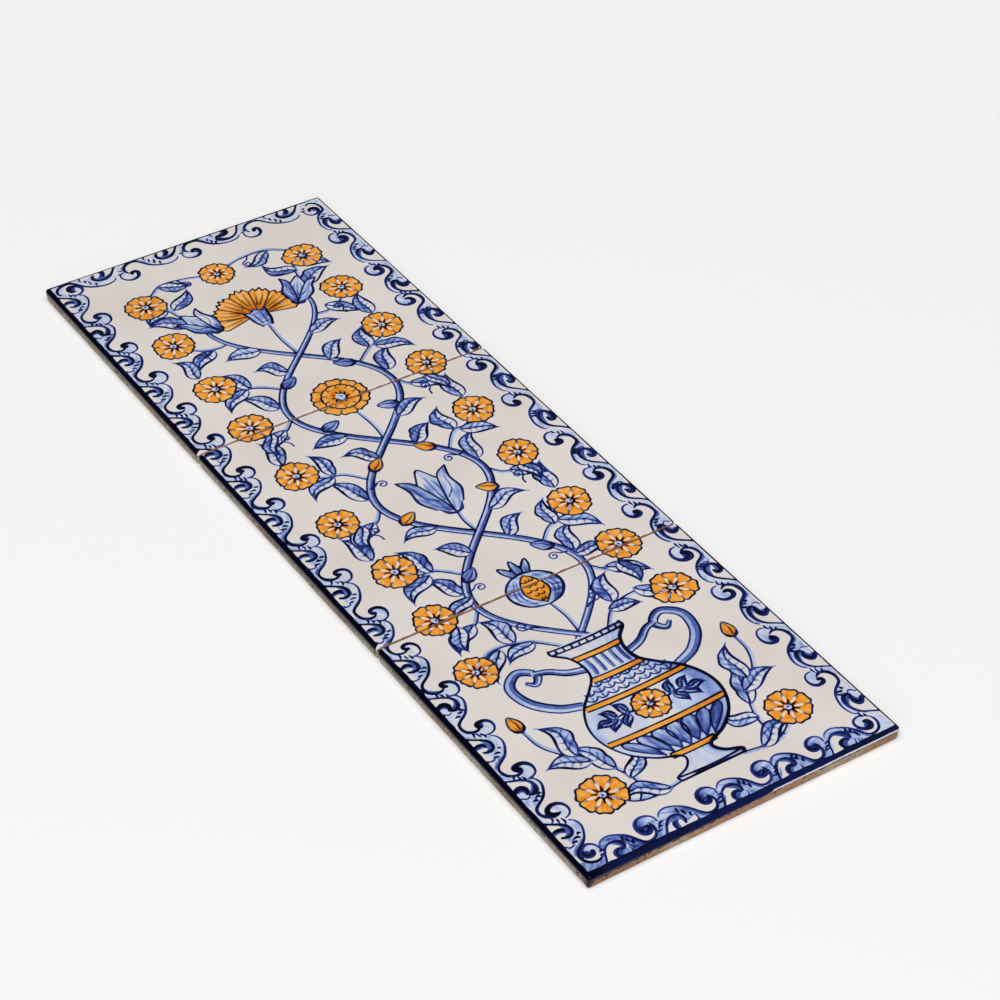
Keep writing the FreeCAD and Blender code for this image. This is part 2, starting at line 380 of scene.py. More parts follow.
# the arch from one trough to the next, in mm from the first: a band between two lines, with a curl under it
archOuter = [(9.3, 11.0), (10.2, 12.2), (11.6, 13.0), (13.7, 13.4), (15.9, 13.0), (18.7, 11.8),
             (21.0, 10.3), (22.7, 8.5), (24.0, 6.6), (25.4, 4.8), (26.8, 3.9), (28.4, 3.6), (30.3, 3.9),
             (32.0, 4.9), (33.1, 6.7), (33.4, 8.4), (33.0, 9.9), (32.4, 10.8)]
archPress = (0.35, 0.5, 0.62, 0.7, 0.75, 0.8, 0.85, 0.9, 0.95, 1.1, 1.1, 0.95, 0.8, 0.35)
archForms = {
    "light": {
        "inner": [(4.2, -1.4), (5.9, 1.6), (7.2, 3.2), (8.4, 5.0), (9.7, 6.9), (11.5, 8.5), (13.5, 9.1),
                  (15.7, 8.6), (16.9, 7.1), (16.9, 5.2), (16.2, 3.8)],
        "press": (0.7, 0.75, 0.8, 0.85, 0.95, 1.05, 1.1, 1.0, 0.9, 0.9),
        "curl": [(14.0, 6.4), (12.6, 6.0), (11.9, 4.6), (12.2, 2.9)],
        "curlWidth": 1.1, "curlPress": (0.5, 1.2, 1.3, 1.0),
        "shades": [[(9.5, 6.1), (11.3, 7.7), (13.3, 8.3), (15.5, 7.8), (16.7, 6.3), (16.7, 4.4)],
                   [(15.2, 7.2), (13.6, 6.6), (12.6, 5.2), (12.5, 3.6), (13.3, 2.0)]],
        "heel": [(21.7, 5.6), (22.2, 4.4), (21.9, 3.2), (21.0, 2.2)],
        "ticks": [(17.4, 10.9, 1.6), (19.2, 9.3, 2.2), (20.9, 7.4, 1.9)],
        "back": [(26.5, 2.2), (21.4, 2.2), (22.2, 4.0), (21.6, 5.4), (17.6, 4.2), (17.3, 7.0), (16.0, 9.0),
                 (13.5, 9.6), (11.3, 9.1), (9.3, 7.4), (8.8, 9.0)]},
    "heavy": {
        "inner": [(4.2, -1.4), (5.9, 1.6), (7.3, 4.2), (8.6, 7.0), (10.3, 9.2), (12.4, 10.4), (14.7, 10.5),
                  (16.8, 9.5), (17.9, 7.8), (17.7, 6.2)],
        "press": (0.65, 0.65, 0.7, 0.8, 0.95, 1.15, 1.3, 1.2, 0.8),
        "curl": [(16.9, 5.6), (15.6, 6.5), (14.0, 6.5), (12.7, 5.6), (12.3, 4.3), (12.9, 2.9), (14.0, 2.1)],
        "curlWidth": 1.3, "curlPress": (0.6, 1.1, 1.4, 1.5, 1.4, 1.2, 0.9),
        "shades": [[(13.4, 9.8), (15.2, 9.6), (16.8, 8.4), (17.2, 7.0), (16.8, 5.8)],
                   [(16.4, 5.6), (14.8, 5.8), (13.6, 5.0), (13.4, 4.0), (14.0, 2.8)]],
        "heel": [(18.6, 5.6), (19.0, 4.4), (18.6, 3.2), (17.6, 2.2)],
        "ticks": [(19.2, 10.3, 1.3), (20.6, 8.9, 1.6), (21.9, 7.0, 1.6)],
        "back": [(26.5, 2.2), (19.0, 2.2), (19.8, 4.4), (18.8, 6.6), (18.5, 8.2), (17.1, 10.1),
                 (14.7, 11.1), (12.1, 10.9), (9.8, 9.6), (8.3, 7.6)]},
    "snail": {
        "inner": [(4.5, 0.1), (7.6, 3.6), (9.9, 7.2), (12.4, 9.2), (15.2, 9.6), (17.6, 8.6), (18.8, 6.6)],
        "press": (0.6, 0.7, 0.8, 0.95, 1.15, 1.3, 1.3),
        "curl": [(18.8, 6.6), (18.4, 4.4), (16.8, 2.6), (14.6, 2.1), (13.0, 3.2), (13.1, 5.0), (14.7, 5.7)],
        "curlWidth": 1.2, "curlPress": (1.2, 1.2, 1.2, 1.3, 1.5, 1.4, 0.8),
        "shades": [[(12.0, 8.4), (14.6, 8.6), (16.8, 7.6), (17.8, 5.8)],
                   [(17.2, 4.2), (15.6, 3.2), (14.2, 3.4), (14.2, 4.6)]],
        "heel": [(20.4, 6.8), (20.6, 5.4), (20.0, 3.8)],
        "ticks": [(20.6, 8.6, 1.3), (19.4, 9.9, 1.3), (18.0, 10.8, 1.2)],
        "back": [(25.6, 3.4), (20.6, 2.6), (20.2, 6.2), (18.6, 9.0), (15.4, 10.4), (12.0, 10.0),
                 (9.4, 8.0), (8.8, 8.8)]},
}


def waveArch(place, look, trough, pitch):
    form = "heavy" if rng.random() < look["heavy"] else look["plain"]
    arch = archForms[form]
    wash = look["wash"] * rng.uniform(0.75, 1.25)
    dark = look["line"]
    stretch = pitch / border["drawnPitch"]
    rise = look["rise"] * rng.uniform(0.97, 1.04)

    def shift(points):
        x, y = np.asarray(points, float).T
        return np.stack([lagging(x, look) * stretch + trough,
                         (y - troughLine) * rise + troughLine - look["drop"]], axis=1)

    spot = lambda point: place(shift([point]))[0]
    drawn = lambda points, steps=6: place(bend(shift(points), steps))
    outer, inner, curl = wobble(archOuter, 0.2), wobble(arch["inner"], 0.15), wobble(arch["curl"], 0.15)
    patch(place(np.vstack([bend(shift(outer[:11]), 3), shift(arch["back"])])),
          sweep(spot((9, 10)), spot((25, 5)), (wash * 0.8, wash, wash * 1.3, wash), 0.14))

    # middle blue under the lines
    for path in arch["shades"]:
        stroke(drawn(path), 2.4, (0.4, 1, 1.1, 1, 0.6), (0.6, 0.76, 0.74), "shade", 0.14)
    if rng.random() < 0.25 + look["heavy"]:
        stroke(place(bend(shift(outer[6:13]) - (0.5, 0.5))), 1.9, (0.2, 0.8, 1, 0.8, 0.2),
               (0.4, 0.55, 0.45), "shade", 0.14)
    if form == "heavy":
        hollow = [(17.6, 5.4), (15.6, 5.6), (14.5, 4.8), (14.4, 3.8), (15.2, 2.4), (17.4, 2.4), (18.4, 4.0)]
        patch(drawn(hollow + hollow[:1], 3), wash * 0.9, "wash", 0.1)

    # dark lines
    press = look["brush"] * rng.uniform(0.92, 1.15)
    stroke(drawn(outer), 1.25 * press, archPress, (dark * 0.85, dark * 0.92, dark, dark, dark))
    stroke(drawn(inner), 1.25 * press, arch["press"], (dark, dark, dark * 0.92, dark))
    stroke(drawn(curl), arch["curlWidth"] * press, arch["curlPress"], dark)
    stroke(drawn(wobble(arch["heel"], 0.15)), 0.9, (0.5, 1, 0.7), dark * 0.9)
    for x, y, low in arch["ticks"]:
        tick = wobble([(x, y), (x - 0.3, y - low * 0.5), (x - 0.2, y - low)], 0.2)
        stroke(drawn(tick, 3), 1.15, (0.9, 1.1, 0.4), 0.97)


def drawBorder(halfWide, halfHigh):
    sides = [("front", (-halfWide, -halfHigh), 0, 2 * halfWide),
             ("right", (halfWide, -halfHigh), 90, 2 * halfHigh),
             ("far", (halfWide, halfHigh), 180, 2 * halfWide),
             ("left", (-halfWide, halfHigh), 270, 2 * halfHigh)]
    for name, corner, turn, length in sides:
        place = lambda points: put(points, at=corner, turn=turn)
        room = length - border["firstTrough"] - border["lastTrough"]
        arches = round(room / sideLooks[name]["unit"])
        troughs = border["firstTrough"] + np.linspace(0, room, arches + 1)
        troughs[1:-1] += rng.normal(0, 0.9, arches - 1)
        for trough, following in zip(troughs[:-1], troughs[1:]):
            waveArch(place, sideLooks[name], trough, following - trough)
        for n, trough in enumerate(troughs[:-1]):
            waveHook(place, sideLooks[name], trough, n == 0)

    # the dark line round the panel's outer edge, which stops short of the joints here and there
    for canvas in canvases:
        x, y = canvas["x"], canvas["y"]
        inset = [y + halfHigh, halfWide - x, halfHigh - y, x + halfWide]
        wave = 0.5 * grain(x / 14, y / 14) + 0.3 * grain(x / 2.5 + 7, y / 2.5)
        widths = [look["edgeLine"] * (1 + wave * 0.5) for look in sideLooks.values()]
        widths[0] = widths[0] * np.interp(x, (-halfWide, halfWide), border["frontTaper"])
        inside = np.max(np.array(widths) - inset, axis=0)
        below, above = canvas["ys"][0], canvas["ys"][-1]
        for end, gap in ((below, 1.5), (above, 0.35)):
            if abs(end) < halfHigh - 1:
                slant = np.minimum(gap * (0.25 + 0.5 * np.abs(x + halfWide)), 2.4)
                inside = np.where(x < 0, np.minimum(inside, np.abs(y - end) - slant), inside)
        frontTone = np.interp(x, border["frontAt"], border["frontTone"]) + 0.03 * grain(x / 6, y / 2 + 3)
        tone = np.where(inset[0] < inset[3], frontTone, 1.0)
        lay(canvas, "line", (slice(None), slice(None)), inside, tone)


# a line beside another one
def offset(path, by):
    run = np.gradient(path, axis=0)
    run /= np.maximum(np.hypot(run[:, :1], run[:, 1:]), 1e-9)
    return path + np.stack([-run[:, 1], run[:, 0]], axis=1) * by


def stem(points):
    path, press = bend(points, 8), (0.8, 1, 0.9, 0.5)
    stroke(offset(path, -0.75), 2.0, press, (0.42, 0.3, 0.45), "wash", 0.2)
    stroke(path, 0.95, press, (0.95, 0.85, 0.92, 0.8))


def tendril(at, turn, size, flip=False):
    path = np.vstack([bend([(0, 0), (3, 1.2), (6, 0.6)], 5), arc((6.4, 3.4), 2.8, -98, 330, 22, 0.7)])
    stroke(put(path, at, turn, size, flip), 0.85, (1, 0.9, 0.8, 0.8, 1.2), (0.9, 0.8, 0.9))


# leaf from its stalk at 0, 0 to its tip along +x; one half washed, the other left pale
def leaf(at, turn, length=26.0, width=11.0, flip=False, lobes=0, curl=0.1, dark=0.62):
    steps = 18
    t = np.linspace(0, 1, steps + 1)
    sway = curl * length * (np.sin(pi * t) - 0.5 * np.sin(2 * pi * t))
    full = np.sin(pi * t ** 0.78) ** 0.85
    ripple = 1 + (0.16 * np.abs(np.sin(pi * lobes * t)) - 0.1 if lobes else 0) * (t < 0.97)
    upper = np.stack([t * length, sway + full * ripple * width * 0.52], axis=1)
    lower = np.stack([t * length, sway - full * width * 0.46], axis=1)
    rib = np.stack([t * length, sway], axis=1)
    place = lambda points: put(points, at, turn, 1, flip)
    wipe(place(np.vstack([upper, lower[::-1]])), 0.2)
    tones = (dark - 0.14, dark, dark - 0.1, dark + 0.1)
    patch(place(np.vstack([rib, upper[::-1]])), fade(place, rib[0], rib[-1], tones, 0.16, 0.9))
    paler = fade(place, rib[3], rib[-1], (0.02, 0.06, 0.16, 0.3), 0.06)
    patch(place(np.vstack([rib[3:], lower[:2:-1]])), paler, pool=0.03)
    for k in (0.24, 0.42, 0.6, 0.76):
        i = int(k * steps)
        tip = rib[i] + (upper[min(i + 3, steps)] - rib[i]) * 0.86
        mid = (rib[i] + tip) / 2 + (0.4, -0.3)
        stroke(place(bend([rib[i], mid, tip], 5)), 0.95, (1, 0.8, 0.3), 0.5, "shade", 0.1)
        tip = rib[i] + (lower[min(i + 2, steps)] - rib[i]) * 0.62
        stroke(place(bend([rib[i], (rib[i] + tip) / 2 + (0.3, 0.2), tip], 4)), 0.7, (1, 0.8, 0.3),
               (0.75, 0.5))
    over = rib[-1] + (rib[-1] - rib[-2]) * 1.3
    stroke(place(np.vstack([rib, [over]])), 0.95, (1.1, 0.9, 0.7, 0.6, 0.8, 0.3), (0.95, 0.85, 0.9))
    stroke(place(upper), 1.15, (0.5, 0.8, 1, 0.9, 0.6, 0.5), (0.9, 0.95, 0.9))
    stroke(place(lower), 1.2, (0.3, 0.6, 0.9, 1.15, 1, 0.6), (0.85, 0.95, 1.0))


# outline of one petal, from its throat out and back
def petalRing(inner, outer, spread, pinch=0.0):
    side = [(inner, -0.32), (0.45 * outer + 0.55 * inner, -0.72), (0.8 * outer + 0.2 * inner, -0.98),
            (0.97 * outer, -0.6)]
    tip = [(outer * (1 - pinch), 0.0)]
    points = side + tip + [(r, -a) for r, a in side[::-1]]
    return np.array([(r * cos(a * spread), r * sin(a * spread)) for r, a in points])


def ochrePetal(at, turn, inner, outer, spread, pinch, tones, line):
    shape = bend(petalRing(inner, outer, spread, pinch), 4)
    place = lambda points: put(points, at, turn)
    cover(place(shape), 0.15, fade(place, (inner, 0), (outer, 0), tones, 0.1, 0.8), "ochre", 0.06)
    ends = len(shape) // 6
    stroke(place(shape[ends:-ends]), line, (0.3, 0.6, 1.1, 0.9, 1.15, 0.7, 0.3), (0.88, 0.97, 0.92))


# orange flower seen from the front: round petals, a darker throat and a blue eye
def rosette(at, radius=10.2, petals=8, rows=1):
    turn = rng.uniform(0, 360)
    r = radius * (1 + rng.normal(0, 0.03))
    at = np.array(at, float)
    spoke = lambda angle, reach: at + reach * r * np.array((cos(radians(angle)), sin(radians(angle))))
    for n in range(petals):
        size = r * (1 + rng.normal(0, 0.035))
        ochrePetal(at, turn + n * 360 / petals, 0.2 * r, size, pi / petals * 1.04, 0.07,
                   (0.8, 0.66, 0.52, 0.5), 0.95)
    for row in range(1, rows):
        part = 1 - 0.34 * row
        for n in range(petals):
            ochrePetal(at, turn + (n + 0.5 * row) * 360 / petals, 0.2 * r, part * r, pi / petals * 1.04,
                       0.07, (0.9, 0.74, 0.5, 0.4), 0.85)
    throat = 0.5 * (1 - 0.34 * (rows - 1))
    for n in range(petals):
        a = turn + (n + 0.5 * (rows - 1)) * 360 / petals + rng.normal(0, 3)
        stroke(bend([spoke(a, 0.16), spoke(a + 2, throat)], 4), 1.7, (1, 0.9, 0.3), (0.98, 0.8), "ochre")
        stroke(bend([spoke(a + 3, 0.24), spoke(a + 5, throat * 0.86)], 4), 0.85, (1.1, 0.6), 0.98)
    eye = arc(at, 0.17 * r, 0, 340, 12)
    wipe(eye, 0.1)
    patch(eye, 0.22)
    stroke(arc(at, 0.18 * r, 190, 450, 12), 1.0, (0.6, 1, 0.5), 0.98)
    stroke(bend([spoke(turn, 0.04), spoke(turn + 90, 0.05)], 3), 0.8, (1, 1), 0.9)


# blue tulip growing along +y from its calyx
def tulip(at, turn, size=1.0):
    place = lambda points: put(points, at, turn - 90, size)
    flipped = lambda points: [(-x, y) for x, y in points]
    sidePetal = [(0, 0), (-5.5, 3.5), (-8.6, 10), (-8.2, 17), (-10.2, 23.5), (-5.2, 20.5), (-2.6, 13),
                 (-0.8, 6)]
    middle = [(0, 2), (-4.4, 8), (-5.2, 15), (-3.0, 21), (0, 26), (3.0, 21), (5.2, 15), (4.4, 8)]
    ring = closed(middle, 5)
    cover(place(ring), 0.2, fade(place, (0, 2), (0, 26), (0.56, 0.34, 0.16, 0.3), 0.18, 0.9))
    for x in (-2.2, 0, 2.2):
        stroke(place(bend([(x * 0.6, 7), (x, 14), (x * 0.7, 21 - abs(x))], 5)), 0.8, (1, 0.8, 0.3), 0.6,
               "shade")
    stroke(place(ring[10:-4]), 1.1, (0.5, 0.8, 1, 0.7, 1, 0.9, 0.5), (0.9, 0.95, 0.9))
    for side in (sidePetal, flipped(sidePetal)):
        ring = closed(side, 5)
        tones = (0.68, 0.5, 0.42, 0.58) if side is sidePetal else (0.55, 0.3, 0.24, 0.44)
        cover(place(ring), 0.2, fade(place, side[0], side[4], tones, 0.2, 0.9))
        stroke(place(bend([side[1], side[2], side[3], side[4]], 6)), 1.4, (0.6, 1, 0.9, 0.6),
               (0.95, 0.9, 1))
        stroke(place(bend([side[4], side[5], side[6], side[7], side[0]], 6)), 1.0, (0.7, 0.8, 0.9, 1),
               (1, 0.9))
        vein = [np.array(side[0]) * 0.5 + np.array(side[6]) * 0.5 + (-0.8 if side is sidePetal else 0.8, 1),
                (np.array(side[2]) + side[6]) / 2, (np.array(side[3]) + side[5]) / 2]
        stroke(place(bend(vein, 5)), 0.9, (1, 0.8, 0.3), 0.6, "shade")
    for x in (-1, 1):
        sepal = [(0, -1.2), (x * 2.6, 0.2), (x * 4.6, 3.2)]
        stroke(place(bend(sepal, 5)), 2.2, (0.5, 1, 0.15), (0.95, 0.8))


# fan flower with toothed petals on a blue cup
def carnation(at, turn, size=1.0):
    place = lambda points: put(points, at, turn - 90, size)
    for n in (-3, 3, -2, 2, -1, 1, 0):
        a = radians(90 + 30 * n)
        length = 19.0 - 0.7 * abs(n)
        ahead, across = np.array((cos(a), sin(a))), np.array((-sin(a), cos(a)))
        root = np.array((0.6 * n * -1, 7.5))
        point = lambda u, v: root + ahead * u * length + across * v
        ring = [point(0, -0.8), point(0.45, -2.9), point(0.86, -4.6), point(0.95, -3.4), point(1.0, -2.8),
                point(0.92, -1.4), point(1.05, 0), point(0.92, 1.4), point(1.0, 2.8), point(0.95, 3.4),
                point(0.86, 4.6), point(0.45, 2.9), point(0, 0.8)]
        tone = fade(place, point(0, 0), point(1, 0), (0.98, 0.8, 0.52, 0.5), 0.14, 0.8)
        cover(place(ring), 0.15, tone, "ochre", 0.06)
        stroke(place(np.array(ring)[[0, 1, 2]]), 0.8, (0.5, 0.8, 1), 0.9)
        stroke(place(np.array(ring)[[12, 11, 10]]), 0.8, (0.5, 0.8, 1), 0.9)
        stroke(place(np.array(ring)[2:11]), 0.95, (0.8, 1, 0.9, 1, 0.8), 0.95)
        for v in (-1.2, 1.2):
            stroke(place(bend([point(0.35, v * 0.5), point(0.62, v), point(0.82, v * 1.3)], 4)), 0.65,
                   (0.9, 0.7, 0.3), 0.8)
    cup = [(-2.2, -2), (-3.9, 2.5), (-4.4, 7), (-5.4, 10.5), (-2.6, 9.2), (0, 11), (2.6, 9.2), (5.4, 10.5),
           (4.4, 7), (3.9, 2.5), (2.2, -2)]
    cover(place(cup), 0.2, fade(place, (-5, 4), (5, 4), (0.3, 0.42, 0.74), 0.14))
    stroke(place(bend(cup[:4], 5)), 1.2, (0.8, 1, 0.7), 0.95)
    stroke(place(bend(cup[7:], 5)), 1.4, (0.7, 1, 0.9), 1.0)
    stroke(place(cup[3:8]), 1.0, (0.8, 1, 0.8), 0.95)
    for x in (-1.5, 1.5):
        stroke(place(bend([(x * 0.7, 0), (x, 4), (x * 1.2, 8)], 4)), 0.7, (0.6, 1, 0.4), 0.8)


# round body of a handle or a vine: light wash between two lines
def tube(points, width, press=(1, 1), steps=8, dark=0.38):
    path = bend(points, steps)
    share = np.linspace(0, 1, len(path))
    half = width / 2 * np.interp(share, np.linspace(0, 1, len(press)), press)[:, None]
    wipeAlong(path, width * min(press) + 0.6)
    stroke(path, width, press, (dark - 0.12, dark, dark - 0.1), "wash", 0.2)
    stroke(offset(path, -half * 0.45), width * 0.5, press, (dark + 0.1, dark + 0.22, dark + 0.1), "shade",
           0.16)
    for side in (1, -1):
        stroke(offset(path, side * half), 0.8 if side > 0 else 1.05, (0.7, 1, 0.9, 1, 0.7),
               (0.92, 0.97, 0.9))


# ripe fruit, split in front, with its crown; grows along +y
def pomegranate(at, turn, size=1.0):
    place = lambda points: put(points, at, turn - 90, size)
    for x in (-1, 0, 1):
        crown = [(x * 2.4 - 1.6, 20), (x * 4.6 - 1.8, 25), (x * 6.4, 30 - 1.6 * abs(x)),
                 (x * 4.6 + 1.8, 25), (x * 2.4 + 1.6, 20)]
        ring = closed(crown, 4)
        cover(place(ring), 0.2, fade(place, (x, 19), (x * 5, 29), (0.7, 0.5, 0.3), 0.14))
        stroke(place(bend(crown, 5)), 1.1, (0.7, 1, 0.8, 1, 0.7), 0.95)
    body = bend([(0, 0), (-7, 2), (-11.6, 8), (-11.2, 14.5), (-6.5, 19.5), (0, 21), (6.5, 19.5),
                 (11.2, 14.5), (11.6, 8), (7, 2), (0, 0)], 5)
    cover(place(body), 0.3, fade(place, (-12, 14), (12, 6), (0.5, 0.3, 0.34, 0.66), 0.2, 1.0))
    for x in (-9.4, -7.4, 7.4, 9.4):
        stroke(place(bend([(x * 0.5, 1.6), (x, 9), (x * 0.55, 18.6)], 6)), 1.1, (0.4, 1, 0.4), 0.55,
               "shade", 0.1)
    slit = [(0, 1.5), (-4.6, 6.5), (-5.4, 11), (-3.2, 16.5), (0, 19.6), (3.2, 16.5), (5.4, 11), (4.6, 6.5)]
    ring = closed(slit, 5)
    cover(place(ring), 0.1, fade(place, (0, 2), (0, 20), (0.86, 0.62, 0.5, 0.7), 0.1), "ochre", 0.1)
    for row in range(5):
        for x in np.arange(-1, 2) if row % 2 == 0 else (-0.5, 0.5):
            reach = 3.0 * sin(pi * (row + 1) / 6)
            seed = np.array((x * reach, 4.4 + row * 3.0))
            stroke(place(arc(seed, 1.0, 200, 380, 6)), 0.75, (0.6, 1, 0.6), 0.9)
    stroke(place(ring), 1.05, (0.7, 1, 0.8, 1, 0.7), 0.95)
    stroke(place(body), 1.4, (0.6, 1, 0.8, 0.7, 0.9, 1.1, 0.6), (0.95, 0.9, 1))
    stroke(place(bend([(-4, 20.4), (0, 21.4), (4, 20.4)], 5)), 1.2, (0.6, 1, 0.6), 0.95)


# closed bud on a short stalk, growing along +y
def bud(at, turn, size=1.0, layer="wash"):
    place = lambda points: put(points, at, turn - 90, size)
    ring = bend([(0, 0), (-3.2, 3), (-3.0, 7), (0, 11.5), (3.0, 7), (3.2, 3), (0, 0)], 5)
    tones = (0.7, 0.5, 0.4) if layer == "wash" else (0.85, 0.6, 0.5)
    cover(place(ring), 0.15, fade(place, (0, 0), (0, 11), tones, 0.14), layer)
    stroke(place(ring), 1.0, (0.5, 1, 0.7, 0.4, 0.9, 1, 0.5), 0.95)
    stroke(place(bend([(0.4, 2), (0.9, 6), (0.1, 10)], 4)), 0.7, (0.9, 0.8, 0.3), 0.85)
    for x in (-1, 1):
        stroke(place(bend([(0, -0.6), (x * 2.6, 1.4), (x * 3.8, 5)], 4)), 1.4, (0.6, 1, 0.2), 0.95)


# footed vase with two handles; 0, 0 is the middle of its foot
vase = {"profile": [(15, 0), (15.4, 2.4), (9.5, 5), (6.4, 9), (8.0, 12), (16, 15.5), (24.5, 23),
                    (29.2, 33), (29.2, 43), (24.5, 53), (16.5, 61), (11.4, 67), (10.4, 74), (12.6, 81),
                    (17.6, 86), (17.6, 89)],
        "belts": (13.2, 31, 52.5, 65, 79)}


def drawVase(at):
    place = lambda points: put(points, at)
    right = bend(vase["profile"], 5)
    ring = np.vstack([right, right[::-1] * (-1, 1)])
    order = np.argsort(right[:, 1])
    girth = lambda y: np.interp(y, right[order, 1], right[order, 0])
    for flip in (False, True):
        handle = [(23.5, 55), (33, 59), (41, 68), (42.5, 79), (35.5, 85), (29, 80.5), (32, 75.5),
                  (35.5, 78)]
        tube(put(handle, at, flip=flip), 4.4, (0.9, 1, 1, 0.9, 0.8, 0.6, 0.3))
        arm = [(29.5, 81), (24, 79), (18, 74.5), (10.5, 72)]
        tube(put(arm, at, flip=flip), 3.4, (0.7, 0.9, 1))
    wipe(place(ring), 0.3)
    seed = rng.random() * 30

    def roundness(x, y, inside):
        t = (x - at[0]) / np.maximum(girth(y - at[1]), 1)
        value = 0.1 + 0.5 * np.clip(t - 0.1, 0, 1) ** 1.5 + 0.32 * np.clip(-t - 0.45, 0, 1)
        return value + 0.34 * grain(t * 9 + seed, (y - at[1]) / 9)
    patch(place(ring), roundness)

    # lobes that rise from the stem
    for n in range(-3, 4):
        lean = n / 3.6
        base = np.array((girth(14.5) * lean, 14.4 + 0.6 * abs(lean)))
        tip = np.array((girth(28) * lean, 29.2 - 0.4 * abs(lean)))
        wide = 3.9 * (1 - 0.35 * abs(lean))
        lobe = [base, base * 0.6 + tip * 0.4 + (-wide * 0.85, 0), base * 0.2 + tip * 0.8 + (-wide, 0), tip,
                base * 0.2 + tip * 0.8 + (wide, 0), base * 0.6 + tip * 0.4 + (wide * 0.85, 0)]
        shape = closed(lobe, 5)
        patch(place(shape), fade(place, base, tip, (0.66, 0.5, 0.3 + 0.2 * max(lean, 0)), 0.16), "shade")
        stroke(place(shape), 0.95, (0.5, 1, 0.8, 1, 0.5), 0.93)

    # belly: a flower between two sprigs
    for flip in (False, True):
        sprig = bend([(8.4, 42), (13, 42.8), (18.5, 41.4)], 5)
        stroke(put(sprig, at, flip=flip), 1.2, (1, 0.9, 0.6), 0.95)
        for x, y, turn in ((10.4, 42.6, 64), (11.0, 41.8, -60), (15.6, 42.4, 46), (16.0, 41.6, -46),
                           (18.4, 41.5, -2)):
            leaf(put([(x, y)], at, flip=flip)[0], -turn if flip else turn, 7.4, 4.0, flip, 0, 0.08, 0.62)
    rosette(place([(0, 42)])[0], 8.4)

    # shoulder: rows of scales
    for row in range(3):
        y = 54.6 + row * 3.3
        wide = girth(y)
        count = int(wide / 2.6)
        for k in range(count + (row % 2)):
            x = (k - (count + row % 2 - 1) / 2) * 2 * wide / (count + 1)
            scale = arc((x, y + 2.6), 2.5, 195, 345, 8)
            stroke(place(scale), 0.95, (0.5, 1, 0.5), 0.9)
            stroke(place([(x, y + 1.2), (x, y + 2.6)]), 1.1, (1, 0.5), 0.6, "shade")

    # neck flutes, then the belts, the lip's marks and the outline
    for x in (-0.72, -0.36, 0, 0.36, 0.72):
        flute = [(girth(y) * x, y) for y in (67.5, 71, 75, 78)]
        stroke(place(bend(flute, 4)), 1.5, (0.7, 1, 0.6), 0.55, "shade", 0.1)
        stroke(place(bend(flute, 4) + (0.8, 0)), 0.75, (0.6, 1, 0.4), 0.85)
    for y in vase["belts"]:
        wide = girth(y)
        across = np.linspace(-0.96, 0.96, 15)
        belt = np.array([(wide * u, y - 1.1 * (1 - u * u) * wide / 29) for u in across])
        wipeAlong(place(belt), 3.0)
        stroke(place(belt), 2.6, (1, 1), (0.62, 0.5, 0.6, 0.8), "ochre")
        for side in (1.4, -1.4):
            stroke(place(belt + (0, side)), 0.95, (0.9, 1, 1, 1.1), 0.95)
    for y, wide in ((2.2, 15.0), (86, 17.2), (88.6, 17.4)):
        rim = np.array([(wide * u, y - 0.8 * (1 - u * u)) for u in np.linspace(-1, 1, 13)])
        stroke(place(rim), 1.1, (0.8, 1, 1, 1.2), 0.96)
    for u in np.linspace(-0.85, 0.85, 9):
        stroke(place([(17.4 * u, 86.9 - 0.8 * (1 - u * u)), (17.4 * u, 87.5 - 0.8 * (1 - u * u))]), 1.1,
               (1, 1), 0.95)
    stroke(place(right), 1.5, (1, 1.2, 1, 1.2, 1.0), 1.0)
    stroke(place(right * (-1, 1)), 1.25, (0.9, 1, 0.8, 1, 0.9), 0.95)
    stroke(place([(-15, 0), (15, 0)]), 1.5, (0.8, 1, 0.8), 1.0)


# two vines that cross and part above the vase
vines = {"foot": -112.0, "loop": 76.0, "reach": 27.0, "top": 150.0, "width": 3.1}
flowers = [(45, -192), (48, -108), (46, -73), (45, -38), (46.5, 2), (45, 38), (46, 79), (45.5, 114),
           (45, 151), (42, 187)]
branches = [  # from a vine, the vase or the ground to each flower or bud
    [(15, -203), (28, -205), (38, -201), (45, -192)], [(10, -116), (21, -105), (36, -102), (48, -108)],
    [(26.6, -78), (33, -84), (41, -82), (46, -73)], [(19.8, -56), (28, -48), (37, -46), (45, -38)],
    [(27, 0), (33, -7), (41, -6), (46.5, 2)], [(19.8, 20), (28, 29), (37, 31), (45, 38)],
    [(27, 76), (34, 69), (41, 71), (46, 79)], [(19.8, 96), (29, 104), (38, 107), (45.5, 114)],
    [(22.8, 140), (29, 139), (37, 142), (45, 151)], [(26.6, 152), (31, 166), (34, 178), (42, 187)],
    [(34, -203), (30, -196), (33, -182), (41, -170)], [(38, -175), (46, -167), (51, -157), (52, -147)],
    [(38, 193), (28, 199), (15, 198), (4, 194)],
]
